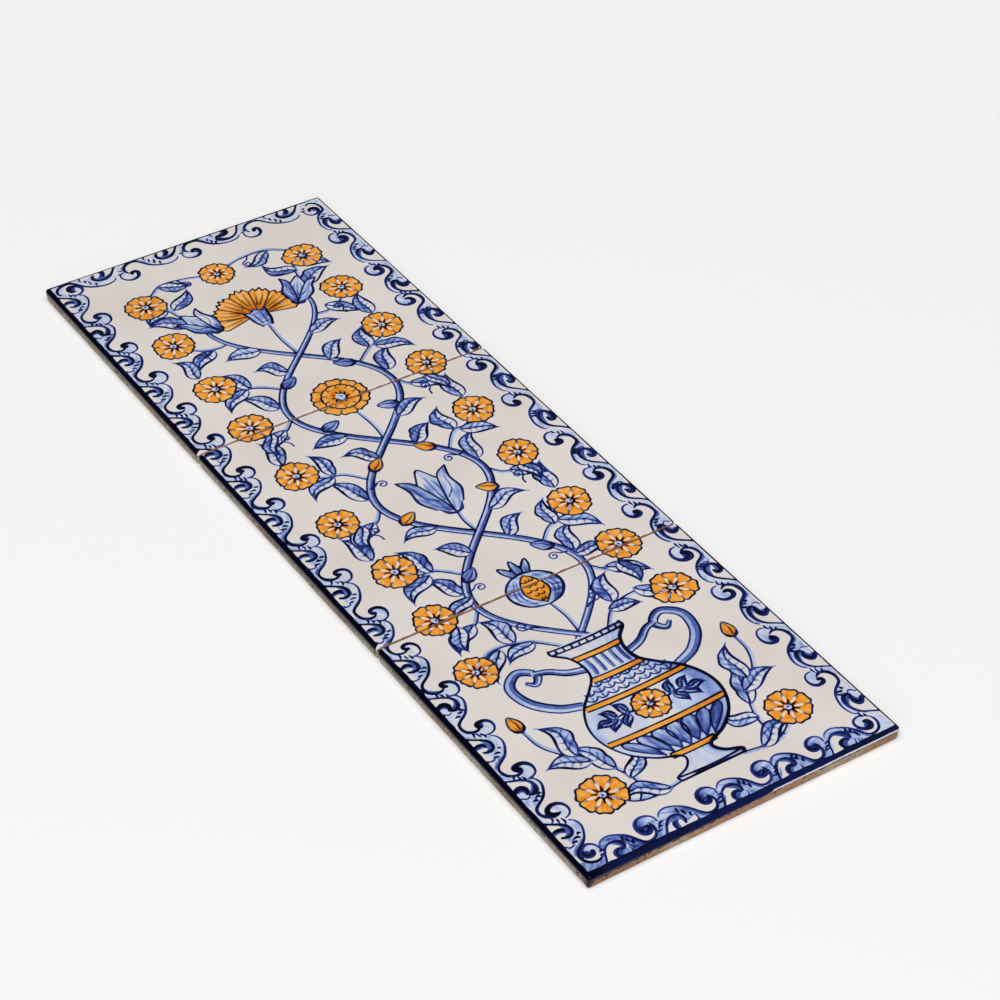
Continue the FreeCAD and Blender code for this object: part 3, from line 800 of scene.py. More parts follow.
leaves = [  # x, y, turn, length, width and lobes
    (22, -204, 20, 19, 8, 0), (32, -191, 135, 15, 7, 0), (33, -183, 62, 22, 9, 3), (37, -175, 20, 18, 8, 0),
    (41, -170, 75, 20, 9, 3), (24, -103, 66, 18, 9, 3), (34, -102, -58, 17, 8, 0),
    (18, -106, -18, 15, 7, 0), (33, -84, -42, 19, 8, 0), (40, -83, -75, 15, 7, 3), (28, -66, 68, 17, 8, 3),
    (26, -68, -20, 15, 7, 0), (33, -47, -40, 19, 8, 0), (31, -48, 76, 18, 8, 3), (10, -45, 38, 16, 8, 0),
    (13, -24, 4, 17, 8, 0), (46, -27, 78, 18, 9, 3), (33, -7, -38, 18, 8, 3), (40, -6, -80, 15, 7, 0),
    (28, 8, 64, 19, 9, 0), (32, 30, -35, 18, 8, 0), (30, 30, 82, 17, 8, 3), (10, 31, 38, 16, 8, 3),
    (13, 52, 4, 17, 8, 0), (46, 49, 76, 18, 9, 0), (33, 70, -42, 18, 8, 0), (40, 71, -82, 15, 7, 3),
    (28, 84, 62, 18, 9, 0), (33, 105, -38, 18, 8, 3), (31, 105, 80, 17, 8, 0), (10, 107, 38, 16, 8, 0),
    (13, 128, 4, 16, 8, 3), (46, 125, 80, 16, 8, 3), (32, 141, -42, 17, 8, 0), (30, 163, 14, 18, 9, 3),
    (33, 176, 140, 17, 8, 0), (36, 180, -35, 15, 7, 0), (29, 198, 204, 16, 7, 3),
]
# x, y, turn, and size or colour
tendrils = [(12, -100, 10, 1.0), (25, -66, 150, 0.9), (36, -18, 60, 0.9), (23.6, 14, 150, 0.9),
            (36, 58, 60, 0.9), (36, 133, 70, 0.9), (19, 198, 215, 0.8)]
buds = [(21.8, -60, 140, "wash"), (16, 24, 138, "ochre"), (19.4, 60, 160, "wash"), (18.6, 97, 150, "wash"),
        (52, -147, 85, "ochre"), (24.4, -14, 150, "ochre")]


# the small change of a hand that repeats a motif
def jitter(by):
    return rng.normal(0, by)


def drawVines():
    y = np.arange(vines["foot"] - 4, vines["top"] + 14, 2.0)
    sway = vines["reach"] * np.sin(pi * (y - vines["foot"]) / vines["loop"])
    sway = sway + 1.2 * grain(y / 30, y * 0)
    strands = [np.stack([side * sway, y], axis=1) for side in (1, -1)]
    press = (0.8, 1, 1, 1, 1, 0.9, 0.8, 0.5)
    tube(strands[0], vines["width"], press, 2)
    tube(strands[1], vines["width"], press, 2)
    near = np.abs(y - vines["foot"] - 2 * vines["loop"]) < 16
    tube(strands[0][near], vines["width"], (1, 1), 2)


def drawPicture():
    for side in (1, -1):
        for points in branches:
            stem([(side * x + jitter(0.5), y + jitter(0.5)) for x, y in points])
    stem([(0, -112), (1, -100), (0, -90)])
    stem([(0, -36), (-1, -26), (0, -18)])
    stem([(0, 40), (1, 52), (0, 64)])
    stem([(0, 116), (-1, 130), (0, 146)])
    drawVines()
    for side in (1, -1):
        for x, y, turn, length, width, lobes in leaves:
            turn = turn + jitter(5)
            leaf((side * (x + jitter(0.8)), y + jitter(0.8)), side * turn, length * (1 + jitter(0.05)),
                 width * (1 + jitter(0.06)), side < 0, lobes, 0.1 + jitter(0.03), 0.47 + jitter(0.07))
    drawVase((0, -203))
    pomegranate((0, -90), 90, 1.05)
    tulip((0, -18), 90, 1.25)
    rosette((0, 78), 15.5, 10, 2)
    carnation((0, 146), 90, 1.1)
    rosette((0, 193), 8.6)
    for side in (1, -1):
        for x, y, turn, size in tendrils:
            tendril((side * x, y), side * turn, size, side < 0)
        for x, y, turn, layer in buds:
            bud((side * x, y), 90 + side * (turn - 90), 0.85, layer)
        tulip((side * 21, 152), 90 - side * 28, 0.85)
        for x, y in flowers:
            rosette((side * (x + jitter(0.8)), y + jitter(0.8)))


# pressed tile: sizes in mm that follow the CAD tile, and how finely it is modelled
tileMake = {"cells": 280, "arrisCells": 6, "arrisRadius": 1.0, "cornerRadius": 1.6, "lean": 3.0,
            "runChange": 0.7, "waviness": 0.035, "clayRoughness": 0.09,
            "backRim": 9.0, "grooves": 8, "grooveWidth": 8.0, "ribWidth": 8.0, "grooveDepth": 0.8,
            "grooveDraft": 20.0, "backFrame": 1.6, "leastRun": 1.1, "mostRun": 4.4, "leastClay": 0.35,
            "cornerSpill": 3.4, "spillReach": 3.0, "waveSize": 17.0, "waveFineSize": 6.0,
            "sharpAngle": 40.0}
# how far in mm the glaze and the dark edge paint run down a side
sideRuns = {"joint": (1.35, 9.0), "front": (2.2, 3.4), "frontRight": (1.3, 0.86), "left": (2.6, 9.0),
            "other": (2.7, 9.0)}
# where the front's broad dark run gives way to a bare rim, in mm, and how much calmer its lip is there
frontTurn = {"start": -16.0, "length": 32.0, "wander": 20.0, "calm": 0.7}
mapRoom = {"front": 0.82, "gap": 0.008}   # shares of the map's width
fieldSpan = 4.0                           # mm from the lowest to the highest stored distance
# rings down the side: glazed or bare, the share of that height, and mm of inset
sideRings = [("glaze", 0.35, 0.0), ("glaze", 0.75, 0.0), ("glaze", 0.93, 0.02), ("glaze", 1.0, 0.1),
             ("bare", 0.04, 0.22), ("bare", 0.25, 0.2), ("bare", 0.5, 0.2), ("bare", 0.72, 0.2),
             ("bare", 0.9, 0.24), ("bare", 1.0, 0.5)]


# places of the sheet's lines across the face, as seen from above and as rolled out flat
def gridLines(half):
    radius, steps = tileMake["arrisRadius"], tileMake["arrisCells"]
    angle = np.radians(np.linspace(0, 90, steps + 1))[:-1]
    flat = np.linspace(radius - half, half - radius, tileMake["cells"] - 2 * steps + 1)
    seen = half - radius * (1 - np.cos(angle))
    rolled = half - radius + radius * (pi / 2 - angle)
    return [np.concatenate([-edge, flat, edge[::-1]]) for edge in (seen, rolled)]


# square sheet pulled to rounded corners; gives the place, the way out and the distance to the edge
def roundCorners(x, y, half):
    r = tileMake["cornerRadius"]
    a, b = np.clip((np.abs(x) - half + r) / r, 0, 1), np.clip((np.abs(y) - half + r) / r, 0, 1)
    corner = (a > 0) & (b > 0)
    ax, by = a * np.sqrt(1 - b * b / 2), b * np.sqrt(1 - a * a / 2)
    px = np.where(corner, np.sign(x) * (half - r + r * ax), x)
    py = np.where(corner, np.sign(y) * (half - r + r * by), y)
    reach = np.maximum(np.hypot(ax, by), 1e-6)
    toSide = np.minimum(half - np.abs(x), half - np.abs(y))
    distance = np.where(corner, r * (1 - np.hypot(ax, by)), toSide)
    sideways = half - np.abs(x) <= half - np.abs(y)
    outX = np.where(corner, np.sign(x) * ax / reach, np.where(sideways, np.sign(x), 0))
    outY = np.where(corner, np.sign(y) * by / reach, np.where(sideways, 0, np.sign(y)))
    return px, py, outX, outY, np.maximum(distance, 0)


# runs of the glaze and of the edge paint at each point of the outline
def sideRun(x, y, outX, outY, isJoint):
    front, left = outY < -0.7, outX < -0.7
    wander = frontTurn["wander"] * grain(x / 15, 4.5)
    toRight = np.clip((x - frontTurn["start"] + wander) / frontTurn["length"], 0, 1)
    pick = lambda n: np.where(isJoint, sideRuns["joint"][n], np.where(
        front, sideRuns["front"][n] * (1 - toRight) + sideRuns["frontRight"][n] * toRight,
        np.where(left, sideRuns["left"][n], sideRuns["other"][n])))
    ragged = tileMake["runChange"] * (
        1.4 * grain(x / 38 + 3, y / 38) + 0.9 * grain(x / 9, y / 9) + 0.8 * grain(x / 2.2, y / 2.2))
    ragged *= np.where(front, 1 - frontTurn["calm"] * toRight, 1)
    return pick(0) + np.where(isJoint, 0.2, 1) * ragged, pick(1) + 0.3 * ragged


def shapeTile(name, node, canvas, panelHalf):
    low, high = (np.array(corner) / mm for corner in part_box(node))
    half, thickness = (high[0] - low[0]) / 2, high[2]
    centre = (low + high) / 2
    cells = tileMake["cells"]
    bm = bmesh.new()
    cellLayer = bm.verts.layers.int.new("cell")
    ringLayer = bm.verts.layers.int.new("ring")
    bmesh.ops.create_grid(bm, x_segments=cells, y_segments=cells, size=1)
    for vert in bm.verts:
        i, j = round((vert.co.x + 1) / 2 * cells), round((vert.co.y + 1) / 2 * cells)
        vert[cellLayer] = j * (cells + 1) + i
    rim = [edge for edge in bm.edges if edge.is_boundary]
    for ring, (part, share, inset) in enumerate(sideRings, 1):
        grown = bmesh.ops.extrude_edge_only(bm, edges=rim)["geom"]
        for item in grown:
            if isinstance(item, bmesh.types.BMVert):
                item[ringLayer] = ring
            elif isinstance(item, bmesh.types.BMFace):
                item.material_index = 0 if part == "glaze" else 1
        rim = [item for item in grown if isinstance(item, bmesh.types.BMEdge) and item.is_boundary]

    # places of all these points, worked out together
    cell = np.array([vert[cellLayer] for vert in bm.verts])
    ring = np.array([vert[ringLayer] for vert in bm.verts])
    lines, rolled = gridLines(half)
    x, y = lines[cell % (cells + 1)], lines[cell // (cells + 1)]
    px, py, outX, outY, distance = roundCorners(x, y, half)
    radius = tileMake["arrisRadius"]
    inArris = np.clip(1 - distance / radius, 0, 1)
    size, fine = tileMake["waveSize"], tileMake["waveFineSize"]
    wave = grain(px / size + centre[1], py / size) + 0.4 * grain(px / fine, py / fine + centre[1])
    z = thickness - radius * (1 - np.sqrt(1 - inArris ** 2))
    z -= tileMake["waviness"] * (0.75 + wave) * np.clip((distance - 0.5) / 6, 0, 1)
    worldX, worldY = px + centre[0], py + centre[1]
    isJoint = (np.abs(outY) > 0.7) & (np.abs(worldY) < panelHalf - 3)
    glazeRun, paintRun = sideRun(worldX, worldY, outX, outY, isJoint)
    nearCorner = np.hypot(worldX - low[0], worldY + panelHalf)
    spill = tileMake["cornerSpill"] * np.exp(-(nearCorner / tileMake["spillReach"]) ** 2)
    glazeRun = np.clip(glazeRun, tileMake["leastRun"], tileMake["mostRun"]) + spill
    paintRun = paintRun + 2 * spill
    top, drip = thickness - radius, thickness - np.minimum(glazeRun, thickness - tileMake["leastClay"])
    down = np.zeros(len(z))
    pull = np.zeros(len(z))
    for n, (part, share, inset) in enumerate(sideRings, 1):
        at = ring == n
        height = top + (drip - top) * share if part == "glaze" else drip * (1 - share)
        z = np.where(at, height, z)
        rough = 0
        if part == "bare":
            sand, lumps = grain(worldX / 1.6 + n * 7, worldY / 1.6), grain(worldX / 5, worldY / 5 + n)
            rough = tileMake["clayRoughness"] * (sand + lumps)
        lean = (top - height) * np.tan(radians(tileMake["lean"]))
        pull = np.where(at, inset + lean + np.maximum(rough, -0.15) * (n < len(sideRings)), pull)
        down = np.where(at, top - height + max(inset - 0.2, 0), down)
    rolledX = rolled[cell % (cells + 1)] + outX * down
    rolledY = rolled[cell // (cells + 1)] + outY * down
    px, py = px - outX * pull, py - outY * pull
    for vert, place in zip(bm.verts, np.stack([px + centre[0], py + centre[1], z], axis=1) * mm):
        vert.co = place

    frontFaces = len(bm.faces)
    makeBack(bm, rim, centre, half, cellLayer)
    bmesh.ops.recalc_face_normals(bm, faces=bm.faces)
    mesh = bpy.data.meshes.new(name)
    bm.to_mesh(mesh)
    bm.free()
    joints = [end for end in (low[1], high[1]) if abs(end) < panelHalf - 3]
    toJoint = np.min([np.abs(worldY - end) for end in joints], axis=0)
    toJoint = np.where((ring > 0) & isJoint, -down - radius * pi / 2, toJoint)
    overEdge = np.where(ring > 0, radius + down, np.maximum(radius - distance, 0))
    measures = {"paintRun": paintRun - overEdge, "toJoint": toJoint, "belowGlaze": drip - z,
                "toRim": np.where(ring > 0, -down - 0.01, distance)}
    bringPaint(mesh, canvas, cell, measures)
    mapTile(mesh, frontFaces, np.stack([rolledX, rolledY], axis=1), centre, half)
    mesh.polygons.foreach_set("use_smooth", np.ones(len(mesh.polygons), bool))
    mesh.set_sharp_from_angle(angle=radians(tileMake["sharpAngle"]))
    piece = bpy.data.objects.new(name, mesh)
    bpy.context.scene.collection.objects.link(piece)
    return piece


# keyed back: a plate with pressed grooves, joined to the side's last ring
def makeBack(bm, rim, centre, half, cellLayer):
    count = tileMake["grooves"]
    pitch = tileMake["grooveWidth"] + tileMake["ribWidth"]
    reach = half - tileMake["backRim"]
    plateHalf = half - tileMake["backFrame"]
    rows = [-plateHalf]
    for n in range(count):
        middle = (n - (count - 1) / 2) * pitch
        rows += [middle - tileMake["grooveWidth"] / 2, middle + tileMake["grooveWidth"] / 2]
    rows += [plateHalf]
    columns = [-plateHalf, -reach, reach, plateHalf]
    plate = bmesh.ops.create_grid(bm, x_segments=3, y_segments=2 * count + 1, size=1)["verts"]
    for vert in plate:
        i, j = round((vert.co.x + 1) / 2 * 3), round((vert.co.y + 1) / 2 * (2 * count + 1))
        vert.co = Vector((columns[i] + centre[0], rows[j] + centre[1], 0)) * mm
        vert[cellLayer] = -1
    faces = list(dict.fromkeys(face for vert in plate for face in vert.link_faces))
    edges = list(dict.fromkeys(edge for vert in plate for edge in vert.link_edges if edge.is_boundary))
    for face in faces:
        face.material_index = 1
    grooves = []
    for face in faces:
        middle = face.calc_center_median() / mm
        row = (middle.y - centre[1] + pitch * count / 2) % pitch
        if abs(middle.x - centre[0]) < 1 and abs(row - pitch / 2) < 1 and abs(middle.y - centre[1]) < reach:
            grooves.append(face)
    pressed = bmesh.ops.extrude_discrete_faces(bm, faces=grooves)["faces"]
    uprights = {}
    narrow = tileMake["grooveDepth"] * np.tan(radians(tileMake["grooveDraft"]))
    for face in pressed:
        middle = face.calc_center_median()
        for vert in face.verts:
            vert.co.x -= narrow * mm * (1 if vert.co.x > middle.x else -1)
            vert.co.y -= narrow * mm * (1 if vert.co.y > middle.y else -1)
            vert.co.z += tileMake["grooveDepth"] * mm
            uprights |= dict.fromkeys(edge for edge in vert.link_edges if edge not in list(face.edges))
    bmesh.ops.bevel(bm, geom=list(uprights), offset=2 * mm, offset_type="OFFSET", segments=4, profile=0.5,
                    affect="EDGES", material=-1)
    filled = bmesh.ops.triangle_fill(bm, edges=rim + edges, use_beauty=True)["geom"]
    for item in filled:
        if isinstance(item, bmesh.types.BMFace):
            item.material_index = 1


# the painted fields, from the canvas to the tile's points
def bringPaint(mesh, canvas, cell, measures):
    for attribute, layers in (("paintStrokes", ("line", "shade")), ("paintWashes", ("wash", "ochre"))):
        values = np.zeros((len(mesh.vertices), 4))
        for n, layer in enumerate(layers):
            inside = np.minimum(canvas[layer].ravel()[cell], measures["paintRun"])
            values[:len(cell), 2 * n] = np.clip(inside / fieldSpan + 0.5, 0, 1)
            values[:len(cell), 2 * n + 1] = np.clip(canvas[layer + "Tone"].ravel()[cell], 0, 1.1)
        mesh.attributes.new(attribute, "FLOAT_COLOR", "POINT").data.foreach_set("color", values.ravel())
    for attribute, beyond in (("toJoint", 9.0), ("belowGlaze", 9.0), ("toRim", -9.0)):
        values = np.full(len(mesh.vertices), beyond)
        values[:len(cell)] = measures[attribute]
        mesh.attributes.new(attribute, "FLOAT", "POINT").data.foreach_set("value", values)


# a map that gives the face and the sides, rolled out flat, most of its room, and the back a strip
def mapTile(mesh, frontFaces, rolled, centre, half):
    layer = mesh.uv_layers.new(name="OFBake")
    corners = np.zeros(len(mesh.loops), int)
    mesh.loops.foreach_get("vertex_index", corners)
    places = np.zeros(len(mesh.vertices) * 3)
    mesh.vertices.foreach_get("co", places)
    places = places.reshape(-1, 3) / mm
    starts = np.zeros(len(mesh.polygons), int)
    mesh.polygons.foreach_get("loop_start", starts)
    isFront = np.arange(len(mesh.loops)) < starts[frontFaces]
    reach = np.abs(rolled).max()
    padded = np.zeros((len(mesh.vertices), 2))
    padded[:len(rolled)] = rolled
    front = (padded[corners] / reach + 1) / 2 * (mapRoom["front"] - 2 * mapRoom["gap"],
                                                 1 - 2 * mapRoom["gap"]) + mapRoom["gap"]
    flat = (places[corners, :2] - centre[:2]) / half
    back = (flat + 1) / 2 * (1 - mapRoom["front"] - mapRoom["gap"],
                             1 - 2 * mapRoom["gap"]) + (mapRoom["front"], mapRoom["gap"])
    layer.uv.foreach_set("vector", np.where(isFront[:, None], front, back).ravel())


# tin-glazed earthenware, painted on the raw glaze and fired: opaque warm white under a glossy skin,
# cobalt that thins from near black to pale blue, and an iron orange; the brush's streaks stay visible
glaze = {"white": "DFD7D1", "warm": "9E745A", "roughness": 0.07, "ior": 1.5, "gloss": 0.42,
         "patchSize": 42.0, "orangePeel": 1.8, "bleed": 0.9, "mottle": 3.2, "rippleDepth": 0.05,
         "peelShare": 0.12, "thinFrom": 0.1, "thinTo": -0.45,
         "ripple": 11.0, "rimGloss": 0.06, "sideGloss": 0.2,
         "soft": {"line": 0.16, "shade": 0.5, "wash": 0.5, "ochre": 0.3}}
cobaltSteps = [(0, glaze["white"]), (0.2, "C2CCE4"), (0.4, "94A8D5"), (0.6, "596FB1"), (0.78, "2B3A84"),
               (0.92, "121C5A"), (0.965, "0E1434"), (1.0, "030417")]
orangeSteps = [(0, glaze["white"]), (0.25, "F4C684"), (0.5, "F2A440"), (0.7, "E08726"), (0.9, "BC651D"),
               (1.0, "8A4413")]


# what a film of colour lets through of the white below it
def filmRamp(steps):
    white = linear(glaze["white"])
    return [(place, [min(c / w, 1.3) for c, w in zip(linear(colour), white)]) for place, colour in steps]


def perMillimetre(size):
    return 1 / (size * mm)


def makeTinGlaze():
    material = bpy.data.materials.new("tinGlazePainted")
    material.use_nodes = True
    tree = material.node_tree
    shader = tree.nodes["Principled BSDF"]
    place = addNode(tree, "ShaderNodeTexCoord").outputs["Object"]
    strokes = addNode(tree, "ShaderNodeAttribute", {"attribute_name": "paintStrokes"})
    washes = addNode(tree, "ShaderNodeAttribute", {"attribute_name": "paintWashes"})
    joint = addNode(tree, "ShaderNodeAttribute", {"attribute_name": "toJoint"}).outputs["Fac"]
    strokeParts = addNode(tree, "ShaderNodeSeparateColor",
                          inputs={"Color": strokes.outputs["Color"]}).outputs
    washParts = addNode(tree, "ShaderNodeSeparateColor", inputs={"Color": washes.outputs["Color"]}).outputs
    layers = {"line": (strokeParts["Red"], strokeParts["Green"]),
              "shade": (strokeParts["Blue"], strokes.outputs["Alpha"]),
              "wash": (washParts["Red"], washParts["Green"]),
              "ochre": (washParts["Blue"], washes.outputs["Alpha"])}

    # how much colour lies on a spot, layer by layer
    bleed = addNode(tree, "ShaderNodeTexNoise",
                    inputs={"Vector": place, "Scale": perMillimetre(glaze["bleed"]), "Detail": 2.0})
    mottle = addNode(tree, "ShaderNodeTexNoise",
                     inputs={"Vector": place, "Scale": perMillimetre(glaze["mottle"]), "Detail": 3.0})
    unevenness = addNode(tree, "ShaderNodeMapRange", inputs={
        "Value": mottle.outputs["Fac"], "From Min": 0.3, "From Max": 0.7, "To Min": 0.86,
        "To Max": 1.08}).outputs["Result"]
    amount = {}
    for layer, (field, tone) in layers.items():
        soft = glaze["soft"][layer] / fieldSpan
        frayed = addNode(tree, "ShaderNodeMath", {"operation": "MULTIPLY_ADD"}, {
            0: bleed.outputs["Fac"], 1: soft * 0.9, 2: field}).outputs[0]
        mask = addNode(tree, "ShaderNodeMapRange", {"interpolation_type": "SMOOTHSTEP"}, {
            "Value": frayed, "From Min": 0.5 - soft * 0.05,
            "From Max": 0.5 + soft * 0.95}).outputs["Result"]
        amount[layer] = addNode(tree, "ShaderNodeMath", {"operation": "MULTIPLY", "use_clamp": True},
                                {0: mask, 1: tone}).outputs[0]
    bare = None
    for layer in ("wash", "shade", "line"):
        uneven = amount[layer] if layer == "line" else addNode(
            tree, "ShaderNodeMath", {"operation": "MULTIPLY", "use_clamp": True},
            {0: amount[layer], 1: unevenness}).outputs[0]
        left = addNode(tree, "ShaderNodeMath", {"operation": "SUBTRACT"}, {0: 1.0, 1: uneven}).outputs[0]
        bare = left if bare is None else addNode(
            tree, "ShaderNodeMath", {"operation": "MULTIPLY"}, {0: bare, 1: left}).outputs[0]
    cobalt = addNode(tree, "ShaderNodeMath", {"operation": "SUBTRACT"}, {0: 1.0, 1: bare}).outputs[0]
    orange = addNode(tree, "ShaderNodeMath", {"operation": "MULTIPLY", "use_clamp": True},
                     {0: amount["ochre"], 1: unevenness}).outputs[0]
    cobaltFilm = addNode(tree, "ShaderNodeValToRGB", inputs={"Fac": cobalt})
    setRamp(cobaltFilm, filmRamp(cobaltSteps))
    orangeFilm = addNode(tree, "ShaderNodeValToRGB", inputs={"Fac": orange})
    setRamp(orangeFilm, filmRamp(orangeSteps))

    # the white glaze: slightly cloudy, brown where it thins out at a joint
    cloud = addNode(tree, "ShaderNodeTexNoise", inputs={
        "Vector": place, "Scale": perMillimetre(glaze["patchSize"]), "Detail": 4.0})
    white = addNode(tree, "ShaderNodeValToRGB", inputs={"Fac": cloud.outputs["Fac"]})
    setRamp(white, [(0.3, linear("D9D0C9")), (0.5, linear(glaze["white"])), (0.7, linear("E3DBD5"))])
    thinning = addNode(tree, "ShaderNodeMath", {"operation": "MULTIPLY_ADD"}, {
        0: mottle.outputs["Fac"], 1: -0.8, 2: joint}).outputs[0]
    thin = addNode(tree, "ShaderNodeMapRange", {"interpolation_type": "SMOOTHSTEP"}, {
        "Value": thinning, "From Min": glaze["thinFrom"], "From Max": glaze["thinTo"]}).outputs["Result"]
    painted = addNode(tree, "ShaderNodeMix", {"data_type": "RGBA", "blend_type": "MULTIPLY"}, {
        "Factor": 1.0, 6: white.outputs["Color"], 7: orangeFilm.outputs["Color"]}).outputs[2]
    painted = addNode(tree, "ShaderNodeMix", {"data_type": "RGBA", "blend_type": "MULTIPLY"}, {
        "Factor": 1.0, 6: painted, 7: cobaltFilm.outputs["Color"]}).outputs[2]
    painted = addNode(tree, "ShaderNodeMix", {"data_type": "RGBA"}, {
        "Factor": thin, 6: painted, 7: (*linear(glaze["warm"]), 1)}).outputs[2]
    tree.links.new(painted, shader.inputs["Base Color"])

    # glossy skin with a slow ripple and fine orange peel
    ripple = addNode(tree, "ShaderNodeTexNoise",
                     inputs={"Vector": place, "Scale": perMillimetre(glaze["ripple"]), "Detail": 1.0})
    peel = addNode(tree, "ShaderNodeTexNoise",
                   inputs={"Vector": place, "Scale": perMillimetre(glaze["orangePeel"]), "Detail": 1.0})
    swell = addNode(tree, "ShaderNodeMath", {"operation": "MULTIPLY_ADD"}, {
        0: peel.outputs["Fac"], 1: glaze["peelShare"], 2: ripple.outputs["Fac"]}).outputs[0]
    skin = addNode(tree, "ShaderNodeBump",
                   inputs={"Height": swell, "Strength": 0.5, "Distance": glaze["rippleDepth"] * mm})
    tree.links.new(skin.outputs["Normal"], shader.inputs["Normal"])
    sheen = addNode(tree, "ShaderNodeMapRange", inputs={
        "Value": mottle.outputs["Fac"], "From Min": 0.3, "From Max": 0.7, "To Min": glaze["roughness"],
        "To Max": glaze["roughness"] + 0.03})
    tree.links.new(sheen.outputs["Result"], shader.inputs["Roughness"])
    shader.inputs["IOR"].default_value = glaze["ior"]
    shader.inputs["Specular IOR Level"].default_value = glaze["gloss"]
    # the roll over the edge is duller than the face, and the run down the sides a little less so
    rim = addNode(tree, "ShaderNodeAttribute", {"attribute_name": "toRim"}).outputs["Fac"]
    gloss = addNode(tree, "ShaderNodeMapRange", inputs={
        "Value": rim, "From Min": 0.6, "From Max": 2.0, "To Min": glaze["rimGloss"],
        "To Max": glaze["gloss"]})
    sideGloss = addNode(tree, "ShaderNodeMapRange", inputs={
        "Value": rim, "From Min": -0.1, "From Max": -0.7, "To Max": glaze["sideGloss"]})
    both = addNode(tree, "ShaderNodeMath", {"operation": "ADD"}, {
        0: gloss.outputs["Result"], 1: sideGloss.outputs["Result"]})
    tree.links.new(both.outputs[0], shader.inputs["Specular IOR Level"])
    return material


# unglazed red clay, pressed and fired: dull and sandy, with grog and fine pits, burnt specks under the
# glaze's
# # edge, and paler, greyer clay along the left side
clay = {"body": "A67F63", "dark": "84634B", "pale": "AE9C86", "soot": "1A1310", "leftGrey": "A69E92",
        "grog": 0.7, "patchSize": 26.0, "speck": 1.5, "pit": 0.6, "pitDepth": 0.25, "roughness": 0.92,
        "greyFrom": 0.7, "greyTo": 1.5, "greyCover": 0.9, "sootReach": 1.3}


def makeBareClay(leftSide):
    material = bpy.data.materials.new("firedRedClay")
    material.use_nodes = True
    tree = material.node_tree
    shader = tree.nodes["Principled BSDF"]
    place = addNode(tree, "ShaderNodeTexCoord").outputs["Object"]
    below = addNode(tree, "ShaderNodeAttribute", {"attribute_name": "belowGlaze"}).outputs["Fac"]
    patches = addNode(tree, "ShaderNodeTexNoise",
                      inputs={"Vector": place, "Scale": perMillimetre(clay["patchSize"]), "Detail": 5.0})
    tint = addNode(tree, "ShaderNodeValToRGB", inputs={"Fac": patches.outputs["Fac"]})
    setRamp(tint, [(0.3, linear(clay["dark"])), (0.48, linear(clay["body"])), (0.68, linear(clay["pale"]))])
    grit = addNode(tree, "ShaderNodeTexVoronoi",
                   inputs={"Vector": place, "Scale": perMillimetre(clay["grog"])})
    gritTone = addNode(tree, "ShaderNodeSeparateColor",
                       inputs={"Color": grit.outputs["Color"]}).outputs["Red"]
    grains = addNode(tree, "ShaderNodeMapRange",
                     inputs={"Value": gritTone, "To Min": 0.72, "To Max": 1.18}).outputs["Result"]
    grainy = addNode(tree, "ShaderNodeMix", {"data_type": "RGBA", "blend_type": "MULTIPLY"}, {
        "Factor": 1.0, 6: tint.outputs["Color"], 7: grains}).outputs[2]

    # paler, greyer clay along the left side, in patches
    across = addNode(tree, "ShaderNodeSeparateXYZ", inputs={"Vector": place}).outputs["X"]
    leftPaling = addNode(tree, "ShaderNodeMapRange", inputs={
        "Value": across, "From Min": leftSide + clay["greyTo"] * mm,
        "From Max": leftSide + clay["greyFrom"] * mm, "To Max": clay["greyCover"]}).outputs["Result"]
    patchy = addNode(tree, "ShaderNodeMapRange", inputs={
        "Value": patches.outputs["Fac"], "From Min": 0.38, "From Max": 0.58,
        "To Min": 0.3}).outputs["Result"]
    leftPaling = addNode(tree, "ShaderNodeMath", {"operation": "MULTIPLY"}, {0: leftPaling, 1: patchy}).outputs[0]
    grainy = addNode(tree, "ShaderNodeMix", {"data_type": "RGBA"}, {
        "Factor": leftPaling, 6: grainy, 7: (*linear(clay["leftGrey"]), 1)}).outputs[2]

    # burnt specks, thick under the glaze's edge and rare elsewhere
    specks = addNode(tree, "ShaderNodeTexNoise",
                     inputs={"Vector": place, "Scale": perMillimetre(clay["speck"]), "Detail": 3.0})
    near = addNode(tree, "ShaderNodeMapRange", inputs={
        "Value": below, "From Min": 0.0, "From Max": clay["sootReach"], "To Min": 0.27,
        "To Max": 0.02}).outputs["Result"]
    burnt = addNode(tree, "ShaderNodeMath", {"operation": "ADD"},
                    {0: specks.outputs["Fac"], 1: near}).outputs[0]
    soot = addNode(tree, "ShaderNodeMapRange", {"interpolation_type": "SMOOTHSTEP"}, {
        "Value": burnt, "From Min": 0.65, "From Max": 0.71}).outputs["Result"]
    coloured = addNode(tree, "ShaderNodeMix", {"data_type": "RGBA"}, {
        "Factor": soot, 6: grainy, 7: (*linear(clay["soot"]), 1)}).outputs[2]
    tree.links.new(coloured, shader.inputs["Base Color"])
    shader.inputs["Roughness"].default_value = clay["roughness"]
    pits = addNode(tree, "ShaderNodeTexNoise",
                   inputs={"Vector": place, "Scale": perMillimetre(clay["pit"]), "Detail": 4.0})
    rough = addNode(tree, "ShaderNodeBump",
                    inputs={"Height": pits.outputs["Fac"], "Strength": 0.7,
                            "Distance": clay["pitDepth"] * mm})
    tree.links.new(rough.outputs["Normal"], shader.inputs["Normal"])
    return material


# plain pale floor, soft light and the camera
studio = {"floor": "F5F5F5", "floorSize": 12.0, "floorGap": 0.05, "floorRoughness": 0.95,
          "worldColour": "FFFFFF", "worldLevel": 0.05}
keyLight = {"from": (-0.18, -0.24, 1.0), "spread": 60.0, "strength": 2.86}   # a broad overhead softbox
fillLight = {"place": (-900, -1000, 650), "size": 800, "power": 3.5}   # mm and watts
view = {"target": (19.8, -22.35), "azimuth": -33.92, "elevation": 39.2, "roll": 0.84, "distance": 1218.1,
        "lens": 101.65, "sensor": 36.0}


